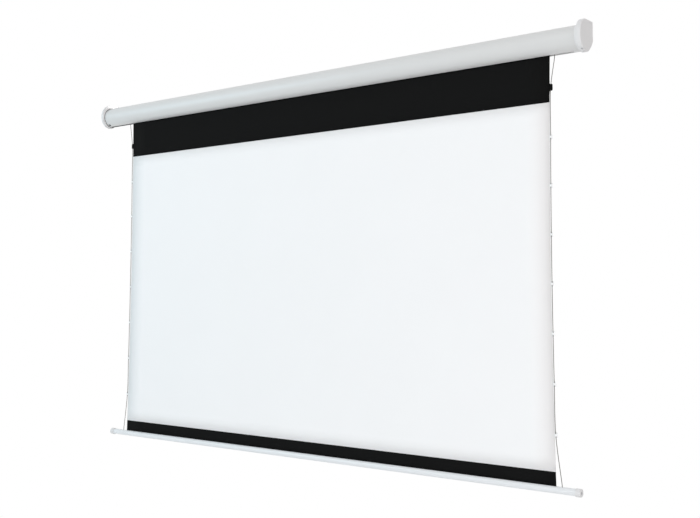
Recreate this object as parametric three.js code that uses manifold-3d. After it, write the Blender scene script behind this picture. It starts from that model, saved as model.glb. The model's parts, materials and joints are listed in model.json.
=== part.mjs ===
// Motorized tab-tension projection screen, let down.
// Millimetres. +X runs to the right along the casing, -Y faces the viewers, +Z is up.
// The origin is on the casing's flat back, at mid height, on the picture's centre line.
import * as THREE from 'three';
import { mergeVertices } from 'three/addons/utils/BufferGeometryUtils.js';
import Module from 'manifold-3d';

const wasm = await Module();
wasm.setup();

// Picture and fabric
const whiteWidth = 2214;
const whiteHeight = 1245;
const topDrop = 161;
const bottomBorder = 46;
const fabricThickness = 0.3;
const sideBow = 6.5;

// Casing extrusion
const casingRadius = 46;
const casingWall = 1.6;
const casingPastLeft = 173;
const casingPastRight = 129;
const backFlatLow = 2;
const backCorner = 6;
const backHandleShare = 0.25;
const lowHandleShare = 0.64;
const slotForward = 4;
const slotAhead = 6;
const slotBehind = 6;
const lipHeight = 8;
const shelfDrop = 12;
const shelfGap = 6;

// End caps
const capThickness = 14;
const capFaceWall = 3;
const capProud = 9;
const capDrop = 6;
const capRise = 16;
const capCorner = 3;
const capShoulder = 5;
const capBackLow = 4;
const capBackHandleShare = 0.2;
const capBottomHandleShare = 0.6;
const sleeveLength = 30;
const sleeveWall = 2;
const tongueLeft = 56;
const tongueRight = 34;
const tongueHeight = 5;

// Keyhole in the back of each cap
const keyholeHeadRadius = 4.3;
const keyholeNeck = 4.4;
const keyholeLip = 3;
const keyholeDepth = 10;
const keyholeRise = 7;

// Clearances, and what each cut runs past its piece
const fit = 0.3;
const overrun = 2;
const weld = 0.0005;

// Roller
const rollerRadius = 20;
const rollerWall = 1;
const wrapThickness = 0.9;
const rollerEndGap = 47;

// Tension cords and tabs
const cordRadius = 1;
const cordOutboard = 4.6;
const cordPlay = 0.8;
const cordPast = 23;
const cordAhead = 0.9;
const tabBeyondCord = 6.7;
const tabHalfHeight = 9;
const tabBaseHalf = 17.5;
const tabCorner = 3;
const tabPitchShare = 0.1344;
const blackTabRise = 51.7;
const blackTabHalfHeight = 12.3;
const blackTabBaseHalf = 20.5;
const blackTabCorner = 6;
const blackTabHalf = 24;
const stripWidth = 16;
const stripThickness = 0.5;
const bridgeHeight = 8;
const bridgeWall = 0.9;
const clampLength = 16;
const clampLugLength = 8;
const clampLugTop = 5;
const clampLugBottom = 3;
const clampSocketDepth = 5;

// Bottom bar
const barRadius = 12;
const barWall = 1.2;
const barSlot = 4.4;
const barPastLeft = 108;
const barPastRight = 92;
const barCapRadius = 14;
const barCapLength = 20;
const barCapBevel = 2.8;
const barPlugLength = 16;
const barPlugWall = 2;
const hemRodRadius = 3.2;
const hemRodInset = 10;

// Tension adjusters in the bar
const tensionScrewRadius = 3;
const tensionHeadRadius = 5;
const tensionHeadLength = 4;
const tensionHeadSink = 3;
const blockLength = 16;
const blockTravel = 6;
const blockSocketDepth = 5.5;

// End brackets and the screws that hold them to the caps
const plateThickness = 2.5;
const flangeDrop = 24;
const flangeMargin = 4;
const capScrewRadius = 1.8;
const capScrewHeadRadius = 3.4;
const capScrewHeadHeight = 2.2;
const capScrewSink = 1;
const capScrewTip = 2;
const capScrewInset = 7;
const capScrewFrontAhead = 25;
const capScrewRearAhead = 9;

// Idler end
const idlerPinRadius = 4;
const idlerPinHead = 7;
const idlerPlugLength = 36;
const idlerFlange = 3;
const idlerFlangeProud = 1;
const idlerBearingRadius = 8;
const idlerBearingLength = 24;

// Tubular motor, from its head inward
const headProud = 1.5;
const headLength = 40;
const headSpigotLength = 12;
const spigotSide = 12;
const motorClearance = 1.5;
const motorWall = 1;
const capacitorLength = 86;
const brakeLength = 38;
const bellLength = 7;
const statorLength = 108;
const statorBoreRadius = 10;
const shaftRadius = 3;
const outputShaftRadius = 5;
const outputBearingLength = 20;
const driveSquare = 8;
const driveWheelLength = 20;
const driveGrooveRadius = 4;
const crownFlange = 2.4;
const crownSleeve = 26;
const crownStart = 1.6;

// Planetary stage
const gearModule = 0.8;
const gearWidth = 16;
const gearBacklash = 0.14;
const carrierPlate = 5;
const planetPinRadius = 1.2;
const toothTipShare = 0.8;
const toothRootShare = 1.12;

// Limit adjusters
const limitFromCap = 16;
const limitScrewRadius = 3.1;
const limitScrewLength = 10;
const limitScrewSink = 9;
const accessRadius = 6;
const hexShare = 0.55;
const hexDepthShare = 0.45;

// Receiver box
const boxLength = 95;
const boxDepth = 24;
const boxHeight = 33;
const boxWall = 1.6;
const boxFromCap = 35;
const lidThickness = 1.6;
const boardThickness = 1.6;
const boardPost = 3.2;
const boardLift = 5;
const relayWidth = 12;
const relayHeight = 14;

// Mains inlet
const inletForward = 13;
const inletZ = 12;
const inletWidth = 24;
const inletHeight = 14;
const inletDepth = 24;
const inletFlange = 1.2;
const inletFlangeEdge = 2;
const socketWidth = 15;
const socketHeight = 8;
const socketDepth = 12;
const socketPinRadius = 1.2;
const socketPinPitch = 8.6;

// Leads in the casing, from the inlet and from the motor head to the receiver box.
// Their points are counted from the casing's left end.
const leadRadius = 2.5;
const supplyRoute = [[10.3, -69, 12], [18, -69, 12], [26, -68, 11], [34.7, -68, 11]];
const motorRoute = [
  [18, -44.1, 15.1], [18, -49, 20], [20, -55, 21], [26, -60.5, 17], [34.7, -60.5, 17],
];

// Screw recess
const crossLengthShare = 0.6;
const crossWidthShare = 0.15;
const screwBevelShare = 0.8;

// Counts, angles and facets
const tabCount = 7;
const sunTeeth = 9;
const planetTeeth = 12;
const planetCount = 3;
const driveLobes = 4;
const relayCount = 2;
const pressureAngle = Math.PI / 9;
const limitTurnShares = [-0.544, -0.761];
const edgeSteps = 8;
const cordSteps = 64;
const cordSides = 8;
const leadSteps = 14;
const leadSides = 10;
const tubeFacets = 20;
const smallFacets = 12;
const arcFacets = 6;
const tabFacets = 3;
const hexSides = 6;

// Levels and places that follow from the sizes
const whiteHalf = whiteWidth / 2;
const casingLeft = -whiteHalf - casingPastLeft;
const casingRight = whiteHalf + casingPastRight;
const fabricY = -casingRadius - slotForward;
const slotFrontY = fabricY - slotAhead;
const slotBackY = fabricY + slotBehind;
const lipTop = -casingRadius + lipHeight;
const whiteTopZ = -casingRadius - topDrop;
const whiteBottomZ = whiteTopZ - whiteHeight;
const whiteMidZ = (whiteTopZ + whiteBottomZ) / 2;
const barZ = whiteBottomZ - bottomBorder - barRadius;
const rollerInner = rollerRadius - rollerWall;
const wrapOuter = rollerRadius + fit + wrapThickness;
const rollerY = fabricY + fabricThickness / 2 + fit + wrapOuter;
const cordY = fabricY - cordAhead;
const cordEntryX = whiteHalf + cordPast;
const stripFrontY = fabricY + fabricThickness / 2 + fit;
const capDepth = 2 * casingRadius + capProud;
const capMidY = -capDepth / 2;
const capBottom = casingRadius + capDrop;
const capTop = casingRadius + capRise;
const pocketInset = casingWall + fit + sleeveWall;
const pocketDepth = capThickness - capFaceWall;
const barInner = barRadius - barWall;
const motorRadius = rollerInner - motorClearance;
const motorInner = motorRadius - motorWall;
const motorFill = motorInner - fit;
const headRadius = rollerRadius + headProud;
const limitX = casingLeft + limitFromCap;
const limitAngles = limitTurnShares.map((share) => Math.PI * share);
const inletY = slotFrontY - inletForward;

const FINISHES = {
  casing: { color: 0xd6dbe0, roughness: 0.38, metalness: 0.1 },
  cap: { color: 0xd2d3d4, roughness: 0.45, metalness: 0 },
  bar: { color: 0xe0e4e8, roughness: 0.35, metalness: 0.1 },
  white: { color: 0xf0f4f7, roughness: 0.85, metalness: 0 },
  black: { color: 0x1a1a1a, roughness: 0.9, metalness: 0 },
  tab: { color: 0xe9e7e4, roughness: 0.7, metalness: 0 },
  cord: { color: 0x8a8d90, roughness: 0.5, metalness: 0.2 },
  steel: { color: 0x9a9da1, roughness: 0.4, metalness: 0.9 },
  aluminium: { color: 0xb9bcc0, roughness: 0.45, metalness: 0.85 },
  darkPlastic: { color: 0x2b2d30, roughness: 0.55, metalness: 0 },
  brass: { color: 0xb08a3c, roughness: 0.4, metalness: 0.9 },
  copper: { color: 0x9a5a33, roughness: 0.5, metalness: 0.6 },
  board: { color: 0x2e6b3c, roughness: 0.6, metalness: 0 },
  nylon: { color: 0xe8e4d8, roughness: 0.6, metalness: 0 },
};

const screen = new THREE.Group();

// Lengthwise frame: its x is depth (+Y), its y is height (+Z) and its z is length (+X).
const lengthwise = new THREE.Group();
lengthwise.quaternion.setFromRotationMatrix(new THREE.Matrix4().makeBasis(
  new THREE.Vector3(0, 1, 0),
  new THREE.Vector3(0, 0, 1),
  new THREE.Vector3(1, 0, 0)));
screen.add(lengthwise);

// Upright frame: its x is length (+X), its y is height (+Z) and its z faces the viewers (-Y).
const upright = new THREE.Group();
upright.rotation.x = Math.PI / 2;
screen.add(upright);

const rollerAxis = new THREE.Group();
rollerAxis.position.set(rollerY, 0, 0);
lengthwise.add(rollerAxis);

const barAxis = new THREE.Group();
barAxis.position.set(fabricY, barZ, 0);
lengthwise.add(barAxis);

function piece(parent, name, geometry, finish, place = [0, 0, 0]) {
  const mesh = new THREE.Mesh(geometry, new THREE.MeshStandardMaterial(FINISHES[finish]));
  mesh.name = name;
  mesh.position.set(...place);
  parent.add(mesh);
  return mesh;
}

// A closed mesh as a solid that can be cut and joined, and back again.
function solid(geometry) {
  const bare = geometry.clone();
  bare.deleteAttribute('normal');
  bare.deleteAttribute('uv');
  const merged = mergeVertices(bare, weld);
  return new wasm.Manifold(new wasm.Mesh({
    numProp: 3,
    vertProperties: new Float32Array(merged.attributes.position.array),
    triVerts: new Uint32Array(merged.index.array),
  }));
}

function geometryOf(manifold) {
  const mesh = manifold.getMesh();
  const geometry = new THREE.BufferGeometry();
  geometry.setAttribute('position', new THREE.BufferAttribute(new Float32Array(mesh.vertProperties), 3));
  geometry.setIndex(Array.from(mesh.triVerts));
  geometry.computeVertexNormals();
  return geometry;
}

function extrude(shape, length, facets = arcFacets) {
  return new THREE.ExtrudeGeometry(shape, { depth: length, bevelEnabled: false, curveSegments: facets });
}

// A block between two corners.
function block(low, high) {
  const size = high.map((value, i) => value - low[i]);
  const geometry = new THREE.BoxGeometry(...size);
  geometry.translate(...high.map((value, i) => (value + low[i]) / 2));
  return geometry;
}

// A turned piece about z: pairs of radius and height, from the axis to the axis or closed on itself.
function turned(profile, facets = tubeFacets) {
  const points = profile.map(([radius, height]) => new THREE.Vector2(radius, height));
  const geometry = new THREE.LatheGeometry(points, facets);
  geometry.rotateX(Math.PI / 2);
  return geometry;
}

function rod(radius, start, end, facets = smallFacets) {
  return turned([[0, start], [radius, start], [radius, end], [0, end]], facets);
}

function ring(inner, outer, start, end, facets = tubeFacets) {
  return turned([[inner, start], [outer, start], [outer, end], [inner, end], [inner, start]], facets);
}

function circle(radius) {
  const shape = new THREE.Shape();
  shape.absarc(0, 0, radius, 0, 2 * Math.PI, false);
  return shape;
}

function polygon(points) {
  return new THREE.Shape(points.map(([x, y]) => new THREE.Vector2(x, y)));
}

// Half the fabric's width at a height: the sides draw in towards the middle of the picture.
function fabricHalf(z) {
  const off = (z - whiteMidZ) / (whiteHeight / 2);
  return whiteHalf - sideBow * (1 - off * off);
}

// The casing's lower back, which turns in just inside the end caps' outline
const lowBack = new THREE.CubicBezierCurve(
  new THREE.Vector2(0, -backFlatLow),
  new THREE.Vector2(0, -backFlatLow - backHandleShare * casingRadius),
  new THREE.Vector2(lowHandleShare * slotBackY, -casingRadius),
  new THREE.Vector2(slotBackY, -casingRadius));

// The casing's D section, drawn in by an inset.
function casingOutline(inset) {
  const radius = casingRadius - inset;
  const corner = backCorner - Math.min(inset, backCorner / 2);
  const outline = new THREE.Shape();
  outline.moveTo(-casingRadius, -radius);
  outline.absarc(-casingRadius, 0, radius, -Math.PI / 2, Math.PI / 2, true);
  outline.lineTo(-inset - corner, radius);
  outline.absarc(-inset - corner, radius - corner, corner, Math.PI / 2, 0, true);
  for (let i = 0; i <= arcFacets; i += 1) {
    const place = lowBack.getPoint(i / arcFacets);
    const along = lowBack.getTangent(i / arcFacets);
    outline.lineTo(place.x + along.y * inset, place.y - along.x * inset);
  }
  outline.closePath();
  return outline;
}

// The end cap's outline: proud in front and below, with a raised square-backed ear.
function capOutline() {
  const outline = new THREE.Shape();
  outline.moveTo(0, -capBackLow);
  outline.bezierCurveTo(
    0, -capBackLow - capBackHandleShare * capBottom,
    capMidY * capBottomHandleShare, -capBottom,
    capMidY, -capBottom);
  outline.absellipse(capMidY, 0, -capMidY, capBottom, -Math.PI / 2, -Math.PI, true);
  outline.lineTo(-capDepth, capShoulder);
  outline.absellipse(capMidY, capShoulder, -capMidY, capTop - capShoulder, Math.PI, Math.PI / 2, true);
  outline.lineTo(-capCorner, capTop);
  outline.absarc(-capCorner, capTop - capCorner, capCorner, Math.PI / 2, 0, true);
  outline.closePath();
  return outline;
}

// The level of the cap's underside in front of its middle
function capUnderside(y) {
  const off = (y - capMidY) / capMidY;
  return -capBottom * Math.sqrt(1 - off * off);
}

// Round access holes, cut outward from the roller's axis through the casing wall
function accessCut(angle) {
  const cutter = rod(accessRadius, headRadius + overrun, 2 * casingRadius);
  cutter.rotateY(Math.PI / 2);
  cutter.rotateZ(angle);
  cutter.translate(rollerY, 0, limitX);
  return solid(cutter);
}
const accessCuts = limitAngles.map(accessCut);

// Casing shell: one extrusion with rolled slot lips and an inner wire shelf
function casingShell() {
  const below = -casingRadius - overrun;
  const outer = solid(extrude(casingOutline(0), casingRight - casingLeft)).translate([0, 0, casingLeft]);
  const hollow = solid(extrude(casingOutline(casingWall), casingRight - casingLeft + 2 * overrun));
  const inside = [
    block([slotFrontY - casingWall, below, casingLeft], [slotFrontY, lipTop, casingRight]),
    block([slotBackY, below, casingLeft], [slotBackY + casingWall, lipTop, casingRight]),
    block(
      [-2 * casingRadius, -shelfDrop - casingWall, casingLeft],
      [slotFrontY - shelfGap, -shelfDrop, casingRight]),
  ];
  let shell = outer.subtract(hollow.translate([0, 0, casingLeft - overrun]));
  for (const wall of inside) shell = shell.add(solid(wall).intersect(outer));
  const slot = block([slotFrontY, below, casingLeft - overrun], [slotBackY, lipTop, casingRight + overrun]);
  shell = shell.subtract(solid(slot));
  for (const cut of accessCuts) shell = shell.subtract(cut);
  return geometryOf(shell);
}
piece(lengthwise, 'casing_shell', casingShell(), 'casing');

// Hole for the mains inlet, along the casing from one level to another
function inletCut(start, end) {
  return solid(block(
    [inletY - inletWidth / 2 - fit, inletZ - inletHeight / 2 - fit, start],
    [inletY + inletWidth / 2 + fit, inletZ + inletHeight / 2 + fit, end]));
}

// Cap screws, front and rear: each head sits just inside the cap's rounded underside
const capScrewPlaces = [['front', fabricY - capScrewFrontAhead], ['rear', fabricY - capScrewRearAhead]];
const capScrewLow = (y) => capUnderside(y) + capScrewSink;

// Keyhole in the back of the ear: round entry, narrow neck and a wider chamber behind the lip
function keyholeCut() {
  const middle = capThickness / 2;
  const entryZ = casingRadius + keyholeHeadRadius + fit;
  const neckTop = entryZ + keyholeRise;
  const entry = rod(keyholeHeadRadius, -keyholeDepth, overrun);
  entry.rotateY(Math.PI / 2);
  entry.translate(0, entryZ, middle);
  const neck = block(
    [-keyholeDepth, entryZ, middle - keyholeNeck / 2],
    [overrun, neckTop, middle + keyholeNeck / 2]);
  const chamber = block(
    [-keyholeDepth, entryZ, middle - keyholeHeadRadius],
    [-keyholeLip, neckTop + keyholeNeck / 2, middle + keyholeHeadRadius]);
  return solid(entry).add(solid(neck)).add(solid(chamber));
}

// The right end cap, drawn with its inner face at z = 0. The left one starts as its mirror image.
function endCap(tongue) {
  const sleeveLow = -sleeveLength - overrun;
  const slotGap = casingWall + fit;
  let sleeve = solid(extrude(casingOutline(casingWall + fit), sleeveLength + pocketDepth));
  sleeve = sleeve.translate([0, 0, -sleeveLength]);
  sleeve = sleeve.subtract(solid(block(
    [slotFrontY - slotGap, -casingRadius, sleeveLow],
    [slotBackY + slotGap, lipTop + fit, 0])));
  sleeve = sleeve.subtract(solid(block(
    [-2 * casingRadius, -shelfDrop - slotGap, sleeveLow],
    [slotFrontY - shelfGap + fit, -shelfDrop + fit, 0])));
  let cap = solid(extrude(capOutline(), capThickness)).add(sleeve);
  const pocket = solid(extrude(casingOutline(pocketInset), sleeveLength + pocketDepth + overrun));
  cap = cap.subtract(pocket.translate([0, 0, sleeveLow]));
  const tongueLow = -casingRadius + 2 * fit;
  cap = cap.add(solid(block(
    [slotFrontY + fit, tongueLow, -tongue],
    [slotBackY - fit, tongueLow + tongueHeight, fit / 2])));
  cap = cap.subtract(keyholeCut());
  for (const [, y] of capScrewPlaces) {
    const seatTop = capScrewLow(y) + capScrewHeadHeight + fit;
    const shank = rod(capScrewRadius + fit, 0, capBottom);
    shank.rotateX(-Math.PI / 2);
    shank.translate(y, -capBottom, capScrewInset);
    const seat = rod(capScrewHeadRadius + fit, 0, capBottom);
    seat.rotateX(Math.PI / 2);
    seat.translate(y, seatTop, capScrewInset);
    cap = cap.subtract(solid(shank)).subtract(solid(seat));
  }
  return cap;
}

function leftCap() {
  let cap = endCap(tongueLeft).mirror([0, 0, 1]).translate([0, 0, casingLeft]);
  for (const cut of accessCuts) cap = cap.subtract(cut);
  return cap.subtract(inletCut(casingLeft - capThickness - overrun, casingLeft));
}
piece(lengthwise, 'end_cap_right', geometryOf(endCap(tongueRight)), 'cap', [0, 0, casingRight]);
piece(lengthwise, 'end_cap_left', geometryOf(leftCap()), 'cap');

// Pan-head cap screws with a cross recess, facing down
function capScrew(length) {
  const arm = capScrewHeadRadius * crossLengthShare;
  const half = capScrewHeadRadius * crossWidthShare;
  const deep = capScrewHeadHeight / 2;
  let screw = solid(turned([
    [0, 0],
    [capScrewHeadRadius * screwBevelShare, 0],
    [capScrewHeadRadius, deep],
    [capScrewHeadRadius, capScrewHeadHeight],
    [capScrewRadius, capScrewHeadHeight],
    [capScrewRadius, length],
    [0, length],
  ], smallFacets));
  screw = screw.subtract(solid(block([-arm, -half, -deep], [arm, half, deep])));
  screw = screw.subtract(solid(block([-half, -arm, -deep], [half, arm, deep])));
  return geometryOf(screw);
}
for (const [side, x] of [['left', casingLeft - capScrewInset], ['right', casingRight + capScrewInset]]) {
  for (const [where, y] of capScrewPlaces) {
    const low = capScrewLow(y);
    const length = -flangeDrop + plateThickness + capScrewTip - low;
    piece(screen, `cap_screw_${side}_${where}`, capScrew(length), 'steel', [x, y, low]);
  }
}

// Steel end bracket: a plate inside the cap with a flange that takes the cap screws
function bracket(hole) {
  const outline = casingOutline(pocketInset + fit);
  const flangeLength = pocketDepth - 2 * fit;
  const flange = solid(block(
    [fabricY - capScrewFrontAhead - flangeMargin, -flangeDrop, 0],
    [fabricY - capScrewRearAhead + flangeMargin, -flangeDrop + plateThickness, flangeLength]));
  let plate = solid(extrude(outline, plateThickness));
  plate = plate.add(flange.intersect(solid(extrude(outline, flangeLength))));
  for (const [, y] of capScrewPlaces) {
    const tapped = rod(capScrewRadius + fit, -overrun, plateThickness + overrun);
    tapped.rotateX(-Math.PI / 2);
    tapped.translate(y, -flangeDrop, capScrewInset - fit);
    plate = plate.subtract(solid(tapped));
  }
  return plate.subtract(hole);
}
const pinBore = solid(rod(idlerPinRadius + fit, -overrun, plateThickness + overrun));
const pinHole = pinBore.translate([rollerY, 0, 0]);
const spigotHalf = spigotSide / 2;
const spigotHole = solid(block(
  [rollerY - spigotHalf - fit, -spigotHalf - fit, -overrun],
  [rollerY + spigotHalf + fit, spigotHalf + fit, plateThickness + overrun]));
const motorBracket = bracket(spigotHole.add(inletCut(-overrun, plateThickness + overrun)));
const motorPlate = geometryOf(motorBracket.mirror([0, 0, 1]));
piece(lengthwise, 'idler_bracket', geometryOf(bracket(pinHole)), 'steel', [0, 0, casingRight + fit]);
piece(lengthwise, 'motor_bracket', motorPlate, 'steel', [0, 0, casingLeft - fit]);

// Idler end of the roller: fixed pin, bearing and plug
const rollerRight = casingRight - rollerEndGap;
const bearingEnd = rollerRight - idlerFlange;
const bearingStart = bearingEnd - idlerBearingLength;
const pinStart = bearingStart - fit;
const pinShoulder = casingRight + plateThickness + 2 * fit;
piece(rollerAxis, 'idler_pin', turned([
  [0, pinStart],
  [idlerPinRadius, pinStart],
  [idlerPinRadius, pinShoulder],
  [idlerPinHead, pinShoulder],
  [idlerPinHead, pinShoulder + plateThickness],
  [0, pinShoulder + plateThickness],
], smallFacets), 'steel');
const bearing = ring(idlerPinRadius + fit, idlerBearingRadius, bearingStart, bearingEnd, smallFacets);
piece(rollerAxis, 'idler_bearing', bearing, 'brass');
const plugBore = idlerBearingRadius + fit;
const plugFlangeRadius = rollerRadius + idlerFlangeProud;
piece(rollerAxis, 'idler_plug', turned([
  [plugBore, rollerRight - idlerPlugLength],
  [rollerInner - fit, rollerRight - idlerPlugLength],
  [rollerInner - fit, rollerRight + fit],
  [plugFlangeRadius, rollerRight + fit],
  [plugFlangeRadius, rollerRight + fit + idlerFlange],
  [plugBore, rollerRight + fit + idlerFlange],
  [plugBore, rollerRight - idlerPlugLength],
]), 'darkPlastic');

// Motor head with a square spigot in the bracket and two adjuster pockets
const headEnd = casingLeft + headLength;
function motorHead() {
  let head = solid(rod(headRadius, casingLeft, headEnd, tubeFacets));
  head = head.add(solid(rod(motorFill, headEnd - overrun, headEnd + headSpigotLength, tubeFacets)));
  head = head.add(solid(block(
    [-spigotHalf, -spigotHalf, casingLeft - plateThickness - 2 * fit],
    [spigotHalf, spigotHalf, casingLeft + overrun])));
  for (const angle of limitAngles) {
    const pocket = rod(limitScrewRadius + fit, headRadius - limitScrewSink - fit, headRadius + overrun);
    pocket.rotateY(Math.PI / 2);
    pocket.rotateZ(angle);
    pocket.translate(0, 0, limitX);
    head = head.subtract(solid(pocket));
  }
  return geometryOf(head);
}
piece(rollerAxis, 'motor_head', motorHead(), 'darkPlastic');

// Limit adjusters: short screws with a hex socket that point out of the head
function limitScrew() {
  const start = limitScrewLength * (1 - hexDepthShare);
  const socket = rod(limitScrewRadius * hexShare, start, limitScrewLength + overrun, hexSides);
  return geometryOf(solid(rod(limitScrewRadius, 0, limitScrewLength)).subtract(solid(socket)));
}
for (const [i, name] of ['limit_screw_up', 'limit_screw_down'].entries()) {
  const station = new THREE.Group();
  station.position.z = limitX;
  station.rotation.z = limitAngles[i];
  rollerAxis.add(station);
  const screw = piece(station, name, limitScrew(), 'brass', [headRadius - limitScrewSink, 0, 0]);
  screw.rotation.y = Math.PI / 2;
}

// Inside the motor tube, each piece starts a fit past the one before it
const spans = {};
let reached = headEnd + headSpigotLength;
for (const [name, length] of Object.entries({
  capacitor: capacitorLength,
  brake: brakeLength,
  rearBell: bellLength,
  stator: statorLength,
  frontBell: bellLength,
  ringGear: gearWidth + carrierPlate + 2 * fit,
  bearing: outputBearingLength,
})) {
  spans[name] = [reached + fit, reached + fit + length];
  reached = spans[name][1];
}
const motorEnd = reached + fit;
piece(rollerAxis, 'motor_tube', ring(motorInner, motorRadius, headEnd + fit, motorEnd), 'steel');
piece(rollerAxis, 'run_capacitor', rod(motorFill, ...spans.capacitor, tubeFacets), 'darkPlastic');
piece(rollerAxis, 'motor_brake', ring(shaftRadius + fit, motorFill, ...spans.brake), 'steel');
piece(rollerAxis, 'rear_end_bell', ring(shaftRadius + fit, motorFill, ...spans.rearBell), 'aluminium');
piece(rollerAxis, 'stator', ring(statorBoreRadius, motorFill, ...spans.stator), 'copper');
piece(rollerAxis, 'front_end_bell', ring(shaftRadius + fit, motorFill, ...spans.frontBell), 'aluminium');
piece(rollerAxis, 'output_bearing', ring(outputShaftRadius + fit, motorFill, ...spans.bearing), 'brass');

// Involute gear outline, with straight-sided roots. The ring gear's hole is such an outline too.
const ringTeeth = sunTeeth + 2 * planetTeeth;
const sunPitch = gearModule * sunTeeth / 2;
const planetPitch = gearModule * planetTeeth / 2;
const ringPitch = gearModule * ringTeeth / 2;
const planetOrbit = sunPitch + planetPitch;
const toothTip = gearModule * toothTipShare;
const toothRoot = gearModule * toothRootShare;
const involute = (angle) => Math.tan(angle) - angle;

function gearOutline(teeth, tip, root, thinning, turn) {
  const pitch = gearModule * teeth / 2;
  const base = pitch * Math.cos(pressureAngle);
  const half = (radius) => {
    const angle = Math.acos(base / Math.max(radius, base));
    return Math.PI / (2 * teeth) - thinning / (2 * pitch) + involute(pressureAngle) - involute(angle);
  };
  const flank = [root, base, tip].filter((radius) => radius >= root);
  const points = [];
  for (let i = 0; i < teeth; i++) {
    const centre = turn + 2 * Math.PI * i / teeth;
    for (const radius of flank) points.push([radius, centre - half(radius)]);
    for (const radius of flank.toReversed()) points.push([radius, centre + half(radius)]);
  }
  return polygon(points.map(([radius, angle]) => [radius * Math.cos(angle), radius * Math.sin(angle)]));
}

function ringGear() {
  const outline = circle(motorFill);
  const hole = gearOutline(
    ringTeeth, ringPitch + toothRoot, ringPitch - toothTip, -gearBacklash, Math.PI / ringTeeth);
  outline.holes.push(new THREE.Path(hole.getPoints()));
  return extrude(outline, spans.ringGear[1] - spans.ringGear[0]);
}
piece(rollerAxis, 'ring_gear', ringGear(), 'steel', [0, 0, spans.ringGear[0]]);

// Rotor: shaft, cage and the sun pinion on its end
function rotor() {
  const sunStart = spans.frontBell[1] + fit;
  const sun = solid(extrude(
    gearOutline(sunTeeth, sunPitch + toothTip, sunPitch - toothRoot, gearBacklash, 0), gearWidth + fit));
  const shaft = solid(rod(shaftRadius, spans.brake[0], sunStart + fit));
  const cage = rod(statorBoreRadius - 2 * fit, spans.stator[0] + fit, spans.stator[1] - fit, tubeFacets);
  return geometryOf(shaft.add(solid(cage)).add(sun.translate([0, 0, sunStart])));
}
piece(rollerAxis, 'rotor', rotor(), 'steel');

// Planets: each is turned with its place round the sun, so all are in mesh at rest
const gearStart = spans.ringGear[0] + fit;
for (let i = 0; i < planetCount; i++) {
  const arm = new THREE.Group();
  arm.rotation.z = 2 * Math.PI * i / planetCount;
  rollerAxis.add(arm);
  const outline = gearOutline(
    planetTeeth, planetPitch + toothTip, planetPitch - toothRoot, gearBacklash, Math.PI / planetTeeth);
  outline.holes.push(new THREE.Path(circle(planetPinRadius + fit).getPoints(arcFacets)));
  piece(arm, `planet_gear_${i + 1}`, extrude(outline, gearWidth), 'steel', [planetOrbit, 0, gearStart]);
}

// Planet carrier: a plate with pins, and the output shaft with its square end
function planetCarrier() {
  const plateStart = gearStart + gearWidth + fit;
  const half = driveSquare / 2;
  let carrier = solid(rod(ringPitch - toothTip - 2 * fit, plateStart, spans.ringGear[1], tubeFacets));
  for (let i = 0; i < planetCount; i++) {
    const angle = 2 * Math.PI * i / planetCount;
    const pin = rod(planetPinRadius, gearStart, plateStart + fit);
    pin.translate(planetOrbit * Math.cos(angle), planetOrbit * Math.sin(angle), 0);
    carrier = carrier.add(solid(pin));
  }
  carrier = carrier.add(solid(rod(outputShaftRadius, plateStart + fit, motorEnd)));
  const square = block([-half, -half, motorEnd - fit], [half, half, motorEnd + fit + driveWheelLength]);
  return geometryOf(carrier.add(solid(square)));
}
piece(rollerAxis, 'planet_carrier', planetCarrier(), 'steel');

// Drive wheel: a grooved wheel on the square shaft that turns the roller tube
function driveWheel() {
  const start = motorEnd + fit;
  const end = start + driveWheelLength;
  const half = driveSquare / 2 + fit;
  let wheel = solid(rod(rollerInner - fit, start, end, tubeFacets));
  wheel = wheel.subtract(solid(block([-half, -half, start - overrun], [half, half, end + overrun])));
  for (let i = 0; i < driveLobes; i++) {
    const angle = 2 * Math.PI * (i + 1 / 2) / driveLobes;
    const groove = rod(driveGrooveRadius, start - overrun, end + overrun);
    groove.translate(rollerRadius * Math.cos(angle), rollerRadius * Math.sin(angle), 0);
    wheel = wheel.subtract(solid(groove));
  }
  return geometryOf(wheel);
}
piece(rollerAxis, 'drive_wheel', driveWheel(), 'darkPlastic');

// Crown ring: turns with the roller on the motor tube and counts its turns for the limits
const crownX = headEnd + crownStart;
const rollerLeft = crownX + crownFlange + fit;
piece(rollerAxis, 'crown_ring', turned([
  [motorRadius + fit, crownX],
  [rollerRadius, crownX],
  [rollerRadius, crownX + crownFlange],
  [rollerInner - fit, crownX + crownFlange],
  [rollerInner - fit, crownX + crownFlange + crownSleeve],
  [motorRadius + fit, crownX + crownFlange + crownSleeve],
  [motorRadius + fit, crownX],
]), 'nylon');

// Roller tube and the turns of fabric that stay on it
const topHalf = fabricHalf(0);
piece(rollerAxis, 'roller_tube', ring(rollerInner, rollerRadius, rollerLeft, rollerRight), 'aluminium');
piece(rollerAxis, 'fabric_roll', ring(rollerRadius + fit, wrapOuter, -topHalf, topHalf), 'black');

// Cord clamps: a collar on the roller with a lug that holds the cord's end
function cordClamp() {
  const holeRadius = cordRadius + fit;
  const cordX = cordY - rollerY;
  const lug = solid(block(
    [cordX - holeRadius - bridgeWall, -clampLugBottom, -clampLugLength / 2],
    [-rollerInner, clampLugTop, clampLugLength / 2]));
  const bore = rod(rollerRadius + fit, -clampLength, clampLength, tubeFacets);
  const socket = rod(holeRadius, -clampLugBottom - overrun, clampSocketDepth - clampLugBottom);
  socket.rotateX(-Math.PI / 2);
  socket.translate(cordX, 0, 0);
  const collar = solid(rod(wrapOuter, -clampLength / 2, clampLength / 2, tubeFacets));
  return geometryOf(collar.add(lug).subtract(solid(bore)).subtract(solid(socket)));
}
piece(rollerAxis, 'cord_clamp_right', cordClamp(), 'steel', [0, 0, cordEntryX]);
piece(rollerAxis, 'cord_clamp_left', cordClamp(), 'steel', [0, 0, -cordEntryX]);

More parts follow.
